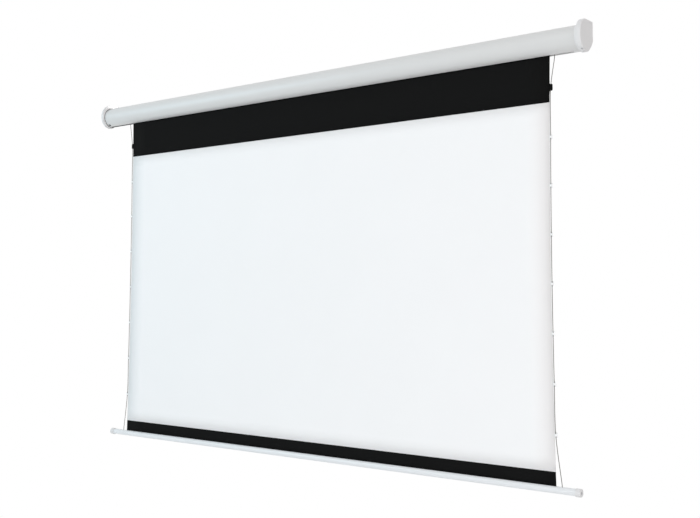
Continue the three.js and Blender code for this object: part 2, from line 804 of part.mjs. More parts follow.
// The hem rod lies behind the lips of the bar's slot
const lipLevel = Math.sqrt(barInner * barInner - barSlot * barSlot / 4);
const rodReach = hemRodRadius + fit;
const rodLevel = lipLevel - Math.sqrt(rodReach * rodReach - barSlot * barSlot / 4);
const borderBottomZ = barZ + rodLevel + rodReach;

// Fabric panels: flat sheets whose sides follow the bowed edge
function panel(low, high) {
  const rows = Array.from({ length: edgeSteps + 1 }, (_, i) => low + (high - low) * i / edgeSteps);
  const right = rows.map((z) => [fabricHalf(z), z]);
  const left = rows.toReversed().map((z) => [-fabricHalf(z), z]);
  return extrude(polygon([...right, ...left]), fabricThickness);
}
const panelPlace = [0, 0, -fabricY - fabricThickness / 2];
piece(upright, 'black_top_drop', panel(whiteTopZ + fit, 0), 'black', panelPlace);
piece(upright, 'white_surface', panel(whiteBottomZ, whiteTopZ), 'white', panelPlace);
piece(upright, 'black_bottom_border', panel(borderBottomZ, whiteBottomZ - fit), 'black', panelPlace);

// Tabs: evenly spaced about the middle of the picture, with one more on the black drop
const tabPitch = whiteHeight * tabPitchShare;
const tabOffsets = Array.from({ length: tabCount }, (_, i) => tabPitch * ((tabCount - 1) / 2 - i));
const tabLevels = tabOffsets.map((offset) => whiteMidZ + offset);
const blackTabZ = whiteTopZ + blackTabRise;
const cordXAt = (z) => fabricHalf(z) + cordOutboard;

// One tab's edge, from its upper shoulder to its lower one
function tabEdge(outline, z, halfHeight, baseHalf, corner) {
  const inner = fabricHalf(z);
  const outer = cordXAt(z) + tabBeyondCord;
  const neck = (inner + cordXAt(z)) / 2;
  const top = z + halfHeight;
  const bottom = z - halfHeight;
  outline.lineTo(fabricHalf(z + baseHalf), z + baseHalf);
  outline.quadraticCurveTo(inner, top, neck, top);
  outline.lineTo(outer - corner, top);
  outline.quadraticCurveTo(outer, top, outer, top - corner);
  outline.lineTo(outer, bottom + corner);
  outline.quadraticCurveTo(outer, bottom, outer - corner, bottom);
  outline.lineTo(neck, bottom);
  outline.quadraticCurveTo(inner, bottom, fabricHalf(z - baseHalf), z - baseHalf);
}

// The bridge of a tab: an arch over the cord whose feet stand on the tab
function tabBridge(z) {
  const inner = cordRadius + cordPlay;
  const outer = inner + bridgeWall;
  const foot = cordY - stripFrontY - stripThickness / 2;
  const arch = new THREE.Shape();
  arch.moveTo(-outer, foot);
  arch.lineTo(-outer, 0);
  arch.absarc(0, 0, outer, Math.PI, 0, true);
  arch.lineTo(outer, foot);
  arch.lineTo(inner, foot);
  arch.lineTo(inner, 0);
  arch.absarc(0, 0, inner, 0, Math.PI, false);
  arch.lineTo(-inner, foot);
  arch.closePath();
  const bridge = extrude(arch, bridgeHeight, tabFacets);
  bridge.rotateX(Math.PI / 2);
  bridge.translate(cordXAt(z), z + bridgeHeight / 2, stripThickness + stripFrontY - cordY);
  return solid(bridge);
}

// The right-hand strip behind the fabric's edge, with its tabs
function edgeStrip(low, high, levels, tabShape) {
  const outline = new THREE.Shape();
  outline.moveTo(fabricHalf(high) - stripWidth, high);
  outline.lineTo(fabricHalf(high), high);
  for (const z of levels) tabEdge(outline, z, ...tabShape);
  outline.lineTo(fabricHalf(low), low);
  outline.lineTo(fabricHalf(low) - stripWidth, low);
  for (const z of levels.toReversed()) outline.lineTo(fabricHalf(z) - stripWidth, z);
  outline.closePath();
  let strip = solid(extrude(outline, stripThickness, tabFacets));
  for (const z of levels) strip = strip.add(tabBridge(z));
  return strip;
}
const stripPlace = [0, 0, -stripFrontY - stripThickness];
const whiteTabShape = [tabHalfHeight, tabBaseHalf, tabCorner];
const blackTabShape = [blackTabHalfHeight, blackTabBaseHalf, blackTabCorner];
const whiteStrip = edgeStrip(whiteBottomZ, whiteTopZ, tabLevels, whiteTabShape);
const blackTab = edgeStrip(blackTabZ - blackTabHalf, blackTabZ + blackTabHalf, [blackTabZ], blackTabShape);
piece(upright, 'edge_strip_right', geometryOf(whiteStrip), 'tab', stripPlace);
piece(upright, 'edge_strip_left', geometryOf(whiteStrip.mirror([1, 0, 0])), 'tab', stripPlace);
piece(upright, 'black_tab_right', geometryOf(blackTab), 'black', stripPlace);
piece(upright, 'black_tab_left', geometryOf(blackTab.mirror([1, 0, 0])), 'black', stripPlace);

// Tension cords: from the clamp on the roller, out of the slot, through the tabs, into the bar
function tensionCord(side) {
  const points = [
    [cordEntryX, clampSocketDepth - clampLugBottom - fit],
    [cordEntryX, -casingRadius / 2],
    [cordEntryX, -casingRadius],
    [cordXAt(blackTabZ), blackTabZ],
    ...tabLevels.map((z) => [cordXAt(z), z]),
    [cordEntryX, barZ + barRadius],
    [cordEntryX, barZ + barInner - blockSocketDepth + fit],
  ].map(([x, z]) => new THREE.Vector3(side * x, cordY, z));
  return tube(points, cordRadius, cordSteps, cordSides);
}

function tube(points, radius, steps, sides) {
  const path = new THREE.CatmullRomCurve3(points, false, 'centripetal');
  return new THREE.ExtrudeGeometry(circle(radius), { steps, curveSegments: sides / 2, extrudePath: path });
}
piece(screen, 'tension_cord_right', tensionCord(1), 'cord');
piece(screen, 'tension_cord_left', tensionCord(-1), 'cord');

// Bottom bar: a slotted tube with the hem rod inside
const barEnds = [['right', 1, whiteHalf + barPastRight], ['left', -1, whiteHalf + barPastLeft]];
const barTubeRight = barEnds[0][2] - barCapLength;
const barTubeLeft = -barEnds[1][2] + barCapLength;
function barTube() {
  const slot = block(
    [-barSlot / 2, 0, barTubeLeft - overrun],
    [barSlot / 2, barRadius + overrun, barTubeRight + overrun]);
  return geometryOf(solid(ring(barInner, barRadius, barTubeLeft, barTubeRight)).subtract(solid(slot)));
}
const hemRodHalf = fabricHalf(borderBottomZ) - hemRodInset;
piece(barAxis, 'bar_tube', barTube(), 'bar');
piece(barAxis, 'hem_rod', rod(hemRodRadius, -hemRodHalf, hemRodHalf), 'steel', [0, rodLevel, 0]);

// Bar cap, drawn with its inner face at z = 0: a plug in the tube and a bevelled end with a screw seat
function barCap() {
  const bore = tensionScrewRadius + fit;
  const seat = tensionHeadRadius + fit;
  const seatStart = barCapLength - tensionHeadSink - tensionHeadLength - fit;
  const plug = barInner - fit;
  return turned([
    [plug - barPlugWall, -barPlugLength],
    [plug, -barPlugLength],
    [plug, fit],
    [barCapRadius, fit],
    [barCapRadius, barCapLength - barCapBevel],
    [barCapRadius - barCapBevel / 3, barCapLength - barCapBevel / 3],
    [barCapRadius - barCapBevel, barCapLength],
    [seat, barCapLength],
    [seat, seatStart],
    [bore, seatStart],
    [bore, fit],
    [plug - barPlugWall, fit],
    [plug - barPlugWall, -barPlugLength],
  ]);
}

// Tension screws: turned from the bar's ends, they draw the cord blocks along the bar
function tensionScrew(length) {
  const shoulder = length - tensionHeadLength;
  const screw = solid(turned([
    [0, 0],
    [tensionScrewRadius, 0],
    [tensionScrewRadius, shoulder],
    [tensionHeadRadius, shoulder],
    [tensionHeadRadius, length],
    [0, length],
  ], smallFacets));
  const start = length - tensionHeadLength / 2;
  const socket = rod(tensionHeadRadius * hexShare, start, length + overrun, hexSides);
  return geometryOf(screw.subtract(solid(socket)));
}

function cordBlock() {
  const socket = rod(cordRadius + cordPlay, 0, barRadius);
  socket.rotateX(-Math.PI / 2);
  socket.translate(cordY - fabricY, barInner - blockSocketDepth, 0);
  const slider = solid(rod(barInner - fit, -blockLength / 2, blockLength / 2, tubeFacets));
  const bore = solid(rod(tensionScrewRadius + fit, -blockLength, blockLength));
  return geometryOf(slider.subtract(bore).subtract(solid(socket)));
}

for (const [side, sign, reach] of barEnds) {
  const start = cordEntryX - blockLength / 2 - blockTravel - fit;
  const screw = tensionScrew(reach - tensionHeadSink - start);
  const outward = new THREE.Group();
  if (sign < 0) outward.rotation.y = Math.PI;
  barAxis.add(outward);
  piece(outward, `bar_cap_${side}`, barCap(), 'cap', [0, 0, reach - barCapLength]);
  piece(outward, `tension_screw_${side}`, screw, 'steel', [0, 0, start]);
  piece(barAxis, `cord_block_${side}`, cordBlock(), 'nylon', [0, 0, sign * cordEntryX]);
}

// Receiver box on the wire shelf, beside the motor head
const boxFrontY = slotFrontY - boxDepth;
const boxZ = -shelfDrop + fit;
const boxX = casingLeft + boxFromCap;
function controlBox() {
  let box = solid(block([boxFrontY, boxZ, 0], [slotFrontY, boxZ + boxHeight, boxLength]));
  box = box.subtract(solid(block(
    [boxFrontY + boxWall, boxZ + boxWall, boxWall],
    [slotFrontY - boxWall, boxZ + boxHeight + overrun, boxLength - boxWall])));
  for (const start of [boxWall / 2, boxLength - boxWall / 2 - boardPost]) {
    box = box.add(solid(block(
      [boxFrontY + boxWall / 2, boxZ + boxWall / 2, start],
      [slotFrontY - boxWall / 2, boxZ + boardLift, start + boardPost])));
  }
  return geometryOf(box);
}

function controlBoard() {
  const edge = boxWall + fit;
  const deck = boxZ + boardLift + fit;
  let board = solid(block(
    [boxFrontY + edge, deck, edge],
    [slotFrontY - edge, deck + boardThickness, boxLength - edge]));
  for (let i = 0; i < relayCount; i++) {
    const start = boxLength * (i + 1) / (relayCount + 1) - relayWidth / 2;
    board = board.add(solid(block(
      [boxFrontY + 2 * edge, deck + boardThickness / 2, start],
      [boxFrontY + 2 * edge + relayWidth, deck + relayHeight, start + relayWidth])));
  }
  return geometryOf(board);
}
const lidBase = boxZ + boxHeight + fit;
const lid = block([boxFrontY, lidBase, 0], [slotFrontY, lidBase + lidThickness, boxLength]);
piece(lengthwise, 'control_box', controlBox(), 'darkPlastic', [0, 0, boxX]);
piece(lengthwise, 'control_board', controlBoard(), 'board', [0, 0, boxX]);
piece(lengthwise, 'control_box_lid', lid, 'darkPlastic', [0, 0, boxX]);

// Mains inlet, drawn from the cap's outer face inward, with two pins in its socket
function powerInlet() {
  const width = inletWidth / 2;
  const height = inletHeight / 2;
  let inlet = solid(block([-width, -height, -fit - inletFlange / 2], [width, height, inletDepth]));
  inlet = inlet.add(solid(block(
    [-width - inletFlangeEdge, -height - inletFlangeEdge, -fit - inletFlange],
    [width + inletFlangeEdge, height + inletFlangeEdge, -fit])));
  inlet = inlet.subtract(solid(block(
    [-socketWidth / 2, -socketHeight / 2, -inletFlange - overrun],
    [socketWidth / 2, socketHeight / 2, socketDepth])));
  for (const side of [-1, 1]) {
    const pin = rod(socketPinRadius, 0, socketDepth + fit);
    pin.translate(side * socketPinPitch / 2, 0, 0);
    inlet = inlet.add(solid(pin));
  }
  return geometryOf(inlet);
}
piece(lengthwise, 'power_inlet', powerInlet(), 'darkPlastic', [inletY, inletZ, casingLeft - capThickness]);

function lead(route) {
  return tube(route.map((point) => new THREE.Vector3(...point)), leadRadius, leadSteps, leadSides);
}
piece(screen, 'supply_lead', lead(supplyRoute), 'darkPlastic', [casingLeft, 0, 0]);
piece(screen, 'motor_lead', lead(motorRoute), 'darkPlastic', [casingLeft, 0, 0]);

export default screen;
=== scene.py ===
# Motorized tab-tension projection screen, let down: its looks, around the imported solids.
# Metres, in the solids' own frame: +X right along the casing, -Y towards the viewers, +Z up.
import json
from math import asin, cos, pi, radians, sin, sqrt

import bmesh
import bpy
from mathutils import Matrix, Vector
from mathutils.bvhtree import BVHTree
from mathutils.geometry import interpolate_bezier


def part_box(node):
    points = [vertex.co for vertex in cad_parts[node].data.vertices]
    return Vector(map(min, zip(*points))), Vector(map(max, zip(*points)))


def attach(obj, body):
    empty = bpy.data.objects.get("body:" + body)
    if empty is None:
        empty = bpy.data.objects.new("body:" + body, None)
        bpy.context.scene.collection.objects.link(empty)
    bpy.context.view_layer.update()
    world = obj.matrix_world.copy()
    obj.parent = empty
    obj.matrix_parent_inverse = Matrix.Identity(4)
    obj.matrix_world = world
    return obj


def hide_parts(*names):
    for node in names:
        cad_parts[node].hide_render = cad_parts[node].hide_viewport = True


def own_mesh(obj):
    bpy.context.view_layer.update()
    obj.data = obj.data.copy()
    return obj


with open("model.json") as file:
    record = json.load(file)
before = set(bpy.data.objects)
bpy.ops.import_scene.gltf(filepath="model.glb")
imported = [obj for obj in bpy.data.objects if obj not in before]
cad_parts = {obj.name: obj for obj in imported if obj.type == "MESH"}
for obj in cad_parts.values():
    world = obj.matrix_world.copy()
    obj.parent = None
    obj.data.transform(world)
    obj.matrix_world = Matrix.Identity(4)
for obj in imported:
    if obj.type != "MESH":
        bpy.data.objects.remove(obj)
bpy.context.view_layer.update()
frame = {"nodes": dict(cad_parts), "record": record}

scene = bpy.context.scene
MM = 0.001

# Camera
CAMERA_PLACE = (2.6435, -3.0655, -0.8636)
CAMERA_TURN = radians(37.58)
CAMERA_RISE = radians(5.29)
CAMERA_LENS = 50.46
CAMERA_SHIFT_X = -0.0269
CAMERA_SHIFT_Y = -0.0797

# Floor, surround and lamps: a lamp's place, aim, size, watts and tint
FLOOR_Z = -2.4
FLOOR_HALF = 12
SURROUND_STRENGTH = 0.6
FADE_START = 1.7
FADE_END = 2.6
LAMPS = {
    "key": ((1.9, -4.5, 2.4), (0, 0, -0.5), 2.6, 67, (0.98, 0.99, 1.0)),
    "fill": ((-3.4, -3.6, 0.6), (-0.4, 0, -0.5), 2.6, 50, (0.56, 0.87, 1.0)),
    "side": ((3.8, -0.7, -0.6), (1.2, 0, -0.6), 1.2, 6, (1, 1, 1)),
    "low": ((2.1, -2.6, -2.1), (0.9, 0, -0.9), 1.0, 9, (1, 1, 1)),
    "back": ((0, 4.2, 1.6), (0, 0, -0.6), 2.6, 40, (1, 1, 1)),
}
EAR_LAMP_PLACE = (0.6, -0.12, 0.4)
EAR_LAMP_AIM = (-1.285, -0.045, 0.08)
EAR_LAMP_CONE = radians(2.5)
EAR_LAMP_BLEND = 0.8
EAR_LAMP_WATTS = 240
EAR_LAMP_RADIUS = 0.02


def middle_of(name):
    """The middle of a solid's box."""
    return [(low + high) / 2 for low, high in zip(*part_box(name))]


# Sizes read from the solids
casing_low, casing_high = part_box("casing_shell")
cap_low, cap_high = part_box("end_cap_right")
white_low, white_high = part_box("white_surface")
black_tab_low, black_tab_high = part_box("black_tab_right")
bar_low, bar_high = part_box("bar_tube")
bar_cap_low, bar_cap_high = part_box("bar_cap_right")
tube_low, tube_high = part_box("roller_tube")

CASING_LEFT = casing_low.x
CASING_RIGHT = casing_high.x
CASING_RADIUS = (casing_high.z - casing_low.z) / 2
CAP_THICKNESS = cap_high.x - CASING_RIGHT
FABRIC_Y = middle_of("white_surface")[1]
FABRIC_THICKNESS = white_high.y - white_low.y
WHITE_HALF = white_high.x
WHITE_TOP = white_high.z
WHITE_BOTTOM = white_low.z
WHITE_MIDDLE = (WHITE_TOP + WHITE_BOTTOM) / 2
FABRIC_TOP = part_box("black_top_drop")[1].z
FABRIC_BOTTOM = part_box("black_bottom_border")[0].z
BAR_Z = middle_of("bar_tube")[2]
BAR_RADIUS = (bar_high.z - bar_low.z) / 2
BAR_CAP_RADIUS = (bar_cap_high.z - bar_cap_low.z) / 2
BLACK_TAB_Z = middle_of("black_tab_right")[2]
ROLLER_Y = middle_of("roller_tube")[1]
ROLLER_RADIUS = (tube_high.z - tube_low.z) / 2
CORD_Y = middle_of("tension_cord_right")[1]
CORD_ENTRY = middle_of("cord_block_right")[0]
LIMIT_X = middle_of("limit_screw_up")[0]
INLET_MIDDLE = middle_of("power_inlet")[1:]
WORDS = {1: "right", -1: "left"}

# Casing profile
CASING_WALL = 1.6 * MM
PAINT_REACH = CASING_WALL / 3
BACK_CORNER = 6 * MM
BACK_FLAT_LOW = 2 * MM
BACK_HANDLE_SHARE = 0.25
LOW_HANDLE_SHARE = 0.64
SLOT_HALF = 6 * MM
LIP_TOP = -38 * MM
LIP_ROUND = 0.5 * MM
SHELF_Z = -12 * MM
SHELF_EDGE = -62 * MM
SHELF_ROOT = 3 * MM
SHELF_ROUND = 0.4 * MM
HOLED_LENGTH = 40 * MM

# Cap profile
CAP_TOP = cap_high.z
CAP_BOTTOM = -cap_low.z
CAP_DEPTH = -cap_low.y
CAP_CORNER = 3 * MM
CAP_SHOULDER = 5 * MM
CAP_MIDDLE = Vector((0, -48 * MM, 4 * MM))
RAY_START_SHARE = 3
CAP_BACK_LOW = 4 * MM
CAP_BACK_HANDLE_SHARE = 0.2
CAP_BOTTOM_HANDLE_SHARE = 0.6
COLLARS = {
    "left": {"seam": 2.6 * MM, "floor": 1.4 * MM, "reach": 0.6, "overlap": 0},
    "right": {"seam": 0.5 * MM, "floor": 3 * MM, "reach": 1.1, "overlap": 4.5 * MM},
}
COLLAR_LIP = 0.4 * MM
COLLAR_FILLET = 14 * MM
OVERLAP_EASE = 12 * MM
FILLET_SHARE = 0.88
INNER_ROUND = 1.2 * MM
INNER_ROUND_SHARE = 0.12
OUTER_ROUND = 3.2 * MM
RIM_SHARE = 0.1
RECESS_SHARE = 0.125
RECESS_DEPTH = 1.1 * MM
RIM_SLOPE = (
    (0, RIM_SHARE), (0.2, RIM_SHARE + 0.006), (0.8, RECESS_SHARE - 0.006), (1, RECESS_SHARE))
LIP_OFF_SHARES = (0, 0.3, 0.9)
SLEEVE_OUTER = -1.9 * MM
SLEEVE_INNER = -3.9 * MM
SLEEVE_TOUCH = 0.1 * MM
SLEEVE_LENGTH = 30 * MM
SLEEVE_EASE = 2 * MM
SLEEVE_GAP = 0.3 * MM
POCKET_DEPTH = 11 * MM
TONGUE_FRONT = -55.7 * MM
TONGUE_BACK = -44.3 * MM
TONGUE_LOWS = {"left": -42 * MM, "right": -45.4 * MM}
TONGUE_HEIGHT = 5 * MM
TONGUE_ROUND = 1 * MM

# Keyholes, screw seats and access holes
KEYHOLE_Z = 50.6 * MM
KEYHOLE_RADIUS = 4.3 * MM
KEYHOLE_NECK = 4.4 * MM
KEYHOLE_RISE = 7 * MM
KEYHOLE_LIP = 3 * MM
KEYHOLE_DEPTH = 10 * MM
SCREW_RADIUS = 3.4 * MM
SCREW_HEIGHT = 2.2 * MM
SEAT_GAP = 0.4 * MM
ACCESS_RADII = (8 * MM, 6 * MM)
ACCESS_TURNS = (-97.92, -136.98)
ACCESS_START = 3.5 * MM
CUT_PAST = 2 * MM

# Fabric, tabs and cords
SIDE_BOW = 6.5 * MM
CORD_RADIUS = 1.2 * MM
CORD_OUTBOARD = 4.6 * MM
TAB_COUNT = 7
TAB_PITCH_SHARE = 0.1344
STRIP_WIDTH = 16 * MM
STRIP_THICKNESS = 0.5 * MM
STRIP_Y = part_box("edge_strip_right")[1].y - STRIP_THICKNESS / 2
TAB_REACH = 6.7 * MM
WHITE_TAB = {"half": 9 * MM, "base_half": 17.5 * MM, "corner": 3 * MM, "bridge_half": 4 * MM}
BLACK_TAB = {"half": 12.3 * MM, "base_half": 20.5 * MM, "corner": 6 * MM, "bridge_half": 9 * MM}
BRIDGE_BORE = 1.8 * MM
BRIDGE_WALL = 0.9 * MM
TAB_EDGE = 0.12 * MM
BRIDGE_EDGE = 0.25 * MM
ROLL_GAP = 0.3 * MM
ROLL_CLOTH = 0.26 * MM
ROLL_TURNS = 2

# Bottom bar and its screws
BAR_WALL = 1.2 * MM
BAR_SLOT = 4.4 * MM
BAR_LIP = 0.35 * MM
BAR_CAP_LENGTH = 20 * MM
BAR_CAP_BEVEL = 2.8 * MM
BAR_CAP_ROUND = 0.8 * MM
BAR_PLUG_LENGTH = 16 * MM
BAR_PLUG_RADIUS = 10.5 * MM
BAR_PLUG_WALL = 2 * MM
SEAT_RADIUS = 5.3 * MM
SEAT_DEPTH = 7.3 * MM
SEAT_ROUND = 0.4 * MM
BORE_RADIUS = 3.3 * MM
TENSION_RADIUS = 3 * MM
TENSION_HEAD_RADIUS = 5 * MM
TENSION_HEAD_LENGTH = 4 * MM
HEX_SHARE = 0.55
HEX_SIDES = 6

# Small screws
FLAT_SHARE = 0.4
SHANK_RADIUS = 1.8 * MM
CROSS_ARM = 2.04 * MM
CROSS_HALF = 0.51 * MM
LIMIT_RADIUS = 3.1 * MM
LIMIT_LENGTH = 10 * MM
LIMIT_HEX_DEPTH = 4.5 * MM
LIMIT_HEAD_PROUD = 1.5 * MM
LIMIT_SINK = 9 * MM
SCREW_CHAMFER = 0.4 * MM

# Mains inlet and leads, counted from the casing's left end
INLET_HALF_WIDTH = 12 * MM
INLET_HALF_HEIGHT = 7 * MM
INLET_EDGE = 2 * MM
INLET_FLANGE = 1.2 * MM
INLET_CORNER = 2.5 * MM
FLANGE_ROUND = 0.4 * MM
SOCKET_HALF_WIDTH = 7.5 * MM
SOCKET_HALF_HEIGHT = 4 * MM
SOCKET_CORNER = 3.6 * MM
SOCKET_DEPTH = 12 * MM
PIN_RADIUS = 1.2 * MM
PIN_PITCH = 8.6 * MM
LEAD_RADIUS = 2.5 * MM
SUPPLY_ROUTE = [(10.3, -69, 12), (18, -69, 12), (26, -68, 11), (34.7, -68, 11)]
MOTOR_ROUTE = [(18, -44.1, 15.1), (18, -49, 20), (20, -55, 21), (26, -60.5, 17), (34.7, -60.5, 17)]

# Shared effects
THREAD_SHARE = 0.15
WEAVE_ROUGHNESS_SPREAD = 0.08
DRAWN_SHADE = 0.15
DRAWN_ROUGHNESS_SPREAD = 0.3
BRAID_GROOVE_SHADE = 0.12
BRAID_LEVEL = 0.92
BRAID_ROUGHNESS = 0.6

# Mesh fineness
PANEL_COLUMNS = 24
WHITE_ROWS = 24
BLACK_ROWS = 6
BORDER_ROWS = 2
ARC_STEPS = 48
CORNER_STEPS = 8
SHOULDER_STEPS = 3
TURN_STEPS = 64
SMALL_TURN_STEPS = 32
TUBE_SIDES = 14
CORD_STEPS = 14
LEAD_STEPS = 8
ROUND_STEPS = 3
WRAP_SHARE = 0.75
SMOOTH_ANGLE = radians(32)
LIP_ANGLE = radians(50)
MERGE = 0.001 * MM


def casing_end(side):
    """The X of a casing end: side is 1 at the right and -1 at the left."""
    return CASING_RIGHT if side > 0 else CASING_LEFT


def quarter(steps):
    """Even angles over a quarter turn."""
    return [pi / 2 * i / steps for i in range(steps + 1)]


# Drawing with bmesh: a chain of edges in a plane across the casing

def start_at(bm, x, y, z):
    return bm.verts.new((x, y, z))


def line_to(bm, vert, y, z):
    drawn = bmesh.ops.extrude_vert_indiv(bm, verts=[vert])["verts"][0]
    drawn.co = (vert.co.x, y, z)
    return drawn


def arc_to(bm, vert, centre, angle, steps, stretch=(1, 1)):
    """Turns the chain's end about a centre, and stretches what it drew along Y and Z."""
    before = set(bm.verts)
    about = Vector((vert.co.x, *centre))
    last = bmesh.ops.spin(
        bm, geom=[vert], cent=about, axis=(1, 0, 0), angle=angle, steps=steps)["geom_last"][0]
    drawn = [v for v in bm.verts if v not in before]
    bmesh.ops.scale(bm, vec=(1, *stretch), space=Matrix.Translation(-about), verts=drawn)
    return last


def curve_to(bm, vert, points, steps):
    """A Bezier stretch: two handles and an end, each a pair of Y and Z."""
    handles = [Vector((vert.co.x, *point)) for point in points]
    for place in interpolate_bezier(vert.co, *handles, steps + 1)[1:]:
        vert = line_to(bm, vert, place.y, place.z)
    return vert


def bend_to(bm, vert, corner, end):
    """A rounded turn about a corner: both are pairs of Y and Z."""
    handles = [Vector(point).lerp(Vector(corner), 2 / 3) for point in (vert.co.yz, end)]
    return curve_to(bm, vert, [*handles, end], CORNER_STEPS)


def rounded_outline(bm, x, middle, half_width, half_height, corner):
    """A closed rounded rectangle across X."""
    y, z = middle
    inner, high = half_width - corner, half_height - corner
    pen = first = start_at(bm, x, y + half_width, z - high)
    for turn, (side, rise) in enumerate(((1, 1), (-1, 1), (-1, -1), (1, -1))):
        if turn % 2:
            pen = line_to(bm, pen, y + side * inner, z + rise * half_height)
        else:
            pen = line_to(bm, pen, y + side * half_width, z + rise * high)
        pen = arc_to(bm, pen, (y + side * inner, z + rise * high), pi / 2, CORNER_STEPS)
    bmesh.ops.pointmerge(bm, verts=[pen, first], merge_co=first.co)


def filled_and_extruded(bm, way):
    """Fills the drawn outline and extrudes it."""
    bmesh.ops.contextual_create(bm, geom=bm.edges[:])
    made = bmesh.ops.extrude_face_region(bm, geom=bm.faces[:])["geom"]
    bmesh.ops.translate(bm, vec=way, verts=[v for v in made if isinstance(v, bmesh.types.BMVert)])


def add_mesh(bm, mesh, place=(0, 0, 0)):
    """Adds a mesh at a place."""
    before = set(bm.verts)
    bm.from_mesh(mesh)
    bmesh.ops.translate(bm, vec=place, verts=[v for v in bm.verts if v not in before])


def places_through(points, steps):
    """Places along a smooth curve through points: a centripetal Catmull-Rom curve."""
    run = [2 * points[0] - points[1], *points, 2 * points[-1] - points[-2]]
    places = [points[0]]
    for before, start, end, after in zip(run, run[1:], run[2:], run[3:]):
        spans = ((before, start), (start, end), (end, after))
        first, middle, last = (sqrt((b - a).length) for a, b in spans)
        pace = (end - start) / middle
        leave = (start - before) / first - (end - before) / (first + middle) + pace
        arrive = pace - (after - start) / (middle + last) + (after - end) / last
        handles = (start + leave * middle / 3, end - arrive * middle / 3)
        places += interpolate_bezier(start, *handles, end, steps + 1)[1:]
    return places


def tube(bm, places, radius, sides=TUBE_SIDES):
    """A round tube along places, with a UV map: a share round it, and metres along it."""
    across = Vector((0, 1, 0))
    run = 0
    ring = bmesh.ops.create_circle(bm, cap_ends=False, segments=sides, radius=radius)["verts"]
    spots = {}
    for i, place in enumerate(places):
        way = (places[min(i + 1, len(places) - 1)] - places[max(i - 1, 0)]).normalized()
        across = (across - way * across.dot(way)).normalized()
        aside = way.cross(across)
        turns = [2 * pi * j / sides for j in range(sides)]
        spread = [place + radius * (cos(turn) * across + sin(turn) * aside) for turn in turns]
        if i:
            ring = next_ring(bm, ring, spread)
            run += (place - places[i - 1]).length
        else:
            for vert, spot in zip(ring, spread):
                vert.co = spot
            fill_ring(bm, ring)
        spots.update({vert: (j / sides, run) for j, vert in enumerate(ring)})
    fill_ring(bm, ring)
    layer = bm.loops.layers.uv.new("run")
    for face in bm.faces:
        wraps = max(spots[v][0] for v in face.verts) > WRAP_SHARE
        for loop in face.loops:
            share, along = spots[loop.vert]
            loop[layer].uv = (share + 1 if wraps and share == 0 else share, along)


def ring_edges(ring):
    """The edges that join a ring's vertices in turn."""
    followers = ring[1:] + ring[:1]
    return [next(e for e in a.link_edges if e.other_vert(a) is b) for a, b in zip(ring, followers)]


def next_ring(bm, ring, places):
    """Extrudes a closed ring and puts its new vertices in their places."""
    made = bmesh.ops.extrude_edge_only(bm, edges=ring_edges(ring))["geom"]
    fresh = {v for v in made if isinstance(v, bmesh.types.BMVert)}
    grown = [next(e.other_vert(v) for e in v.link_edges if e.other_vert(v) in fresh) for v in ring]
    for vert, place in zip(grown, places):
        vert.co = place
    return grown


def fill_ring(bm, ring):
    bmesh.ops.contextual_create(bm, geom=ring_edges(ring))


def soften(bm, angle=SMOOTH_ANGLE):
    """Smooth shading, with every edge over an angle kept sharp."""
    for face in bm.faces:
        face.smooth = True
    for edge in bm.edges:
        if len(edge.link_faces) == 2:
            edge.smooth = edge.calc_face_angle(0) < angle


def bevel(bm, edges, offset, segments):
    bmesh.ops.bevel(bm, geom=edges, offset=offset, segments=segments, affect="EDGES", profile=0.5)


def turned(bm, profile, axis_place, steps=TURN_STEPS):
    """A piece turned about a line along X: profile is pairs of X and radius."""
    y, z = axis_place
    verts = [bm.verts.new((x, y, z + radius)) for x, radius in profile]
    chain = [bm.edges.new(pair) for pair in zip(verts, verts[1:])]
    bmesh.ops.spin(
        bm, geom=verts + chain, cent=(0, y, z), axis=(1, 0, 0), angle=2 * pi, steps=steps,
        use_merge=True)
    bmesh.ops.remove_doubles(bm, verts=bm.verts, dist=MERGE)


def block(bm, low, high, rounding=0):
    """A block between two corners, with its edges rounded."""
    made = bmesh.ops.create_cube(bm, size=1)["verts"]
    size = Vector(high) - Vector(low)
    middle = (Vector(high) + Vector(low)) / 2
    bmesh.ops.scale(bm, vec=size, verts=made)
    bmesh.ops.translate(bm, vec=middle, verts=made)
    if rounding:
        bevel(bm, list({e for v in made for e in v.link_edges}), rounding, ROUND_STEPS)


# Pieces

def as_object(bm, name):
    mesh = bpy.data.meshes.new(name)
    bm.to_mesh(mesh)
    bm.free()
    obj = bpy.data.objects.new(name, mesh)
    scene.collection.objects.link(obj)
    return obj


def with_modifiers_applied(obj):
    """Bakes an object's modifiers into its mesh."""
    bpy.context.view_layer.update()
    applied = bpy.data.meshes.new_from_object(obj.evaluated_get(bpy.context.evaluated_depsgraph_get()))
    obj.modifiers.clear()
    obj.data = applied
    return obj


def cut(obj, cutters):
    """Takes other closed shapes away from an object."""
    for cutter in cutters:
        tool = obj.modifiers.new("cut", "BOOLEAN")
        tool.operation = "DIFFERENCE"
        tool.solver = "EXACT"
        tool.object = cutter
    with_modifiers_applied(obj)
    for cutter in cutters:
        bpy.data.objects.remove(cutter)


def cylinder_cutter(place, direction, radius, length, steps=SMALL_TURN_STEPS):
    """A cylinder from a place along a direction."""
    bm = bmesh.new()
    bmesh.ops.create_cone(
        bm, cap_ends=True, segments=steps, radius1=radius, radius2=radius, depth=length)
    bmesh.ops.translate(bm, vec=(0, 0, length / 2), verts=bm.verts)
    turn = Vector(direction).to_track_quat("Z", "Y").to_matrix()
    bmesh.ops.rotate(bm, cent=(0, 0, 0), matrix=turn, verts=bm.verts)
    bmesh.ops.translate(bm, vec=place, verts=bm.verts)
    return as_object(bm, "cutter")


def block_cutter(low, high):
    bm = bmesh.new()
    block(bm, low, high)
    return as_object(bm, "cutter")


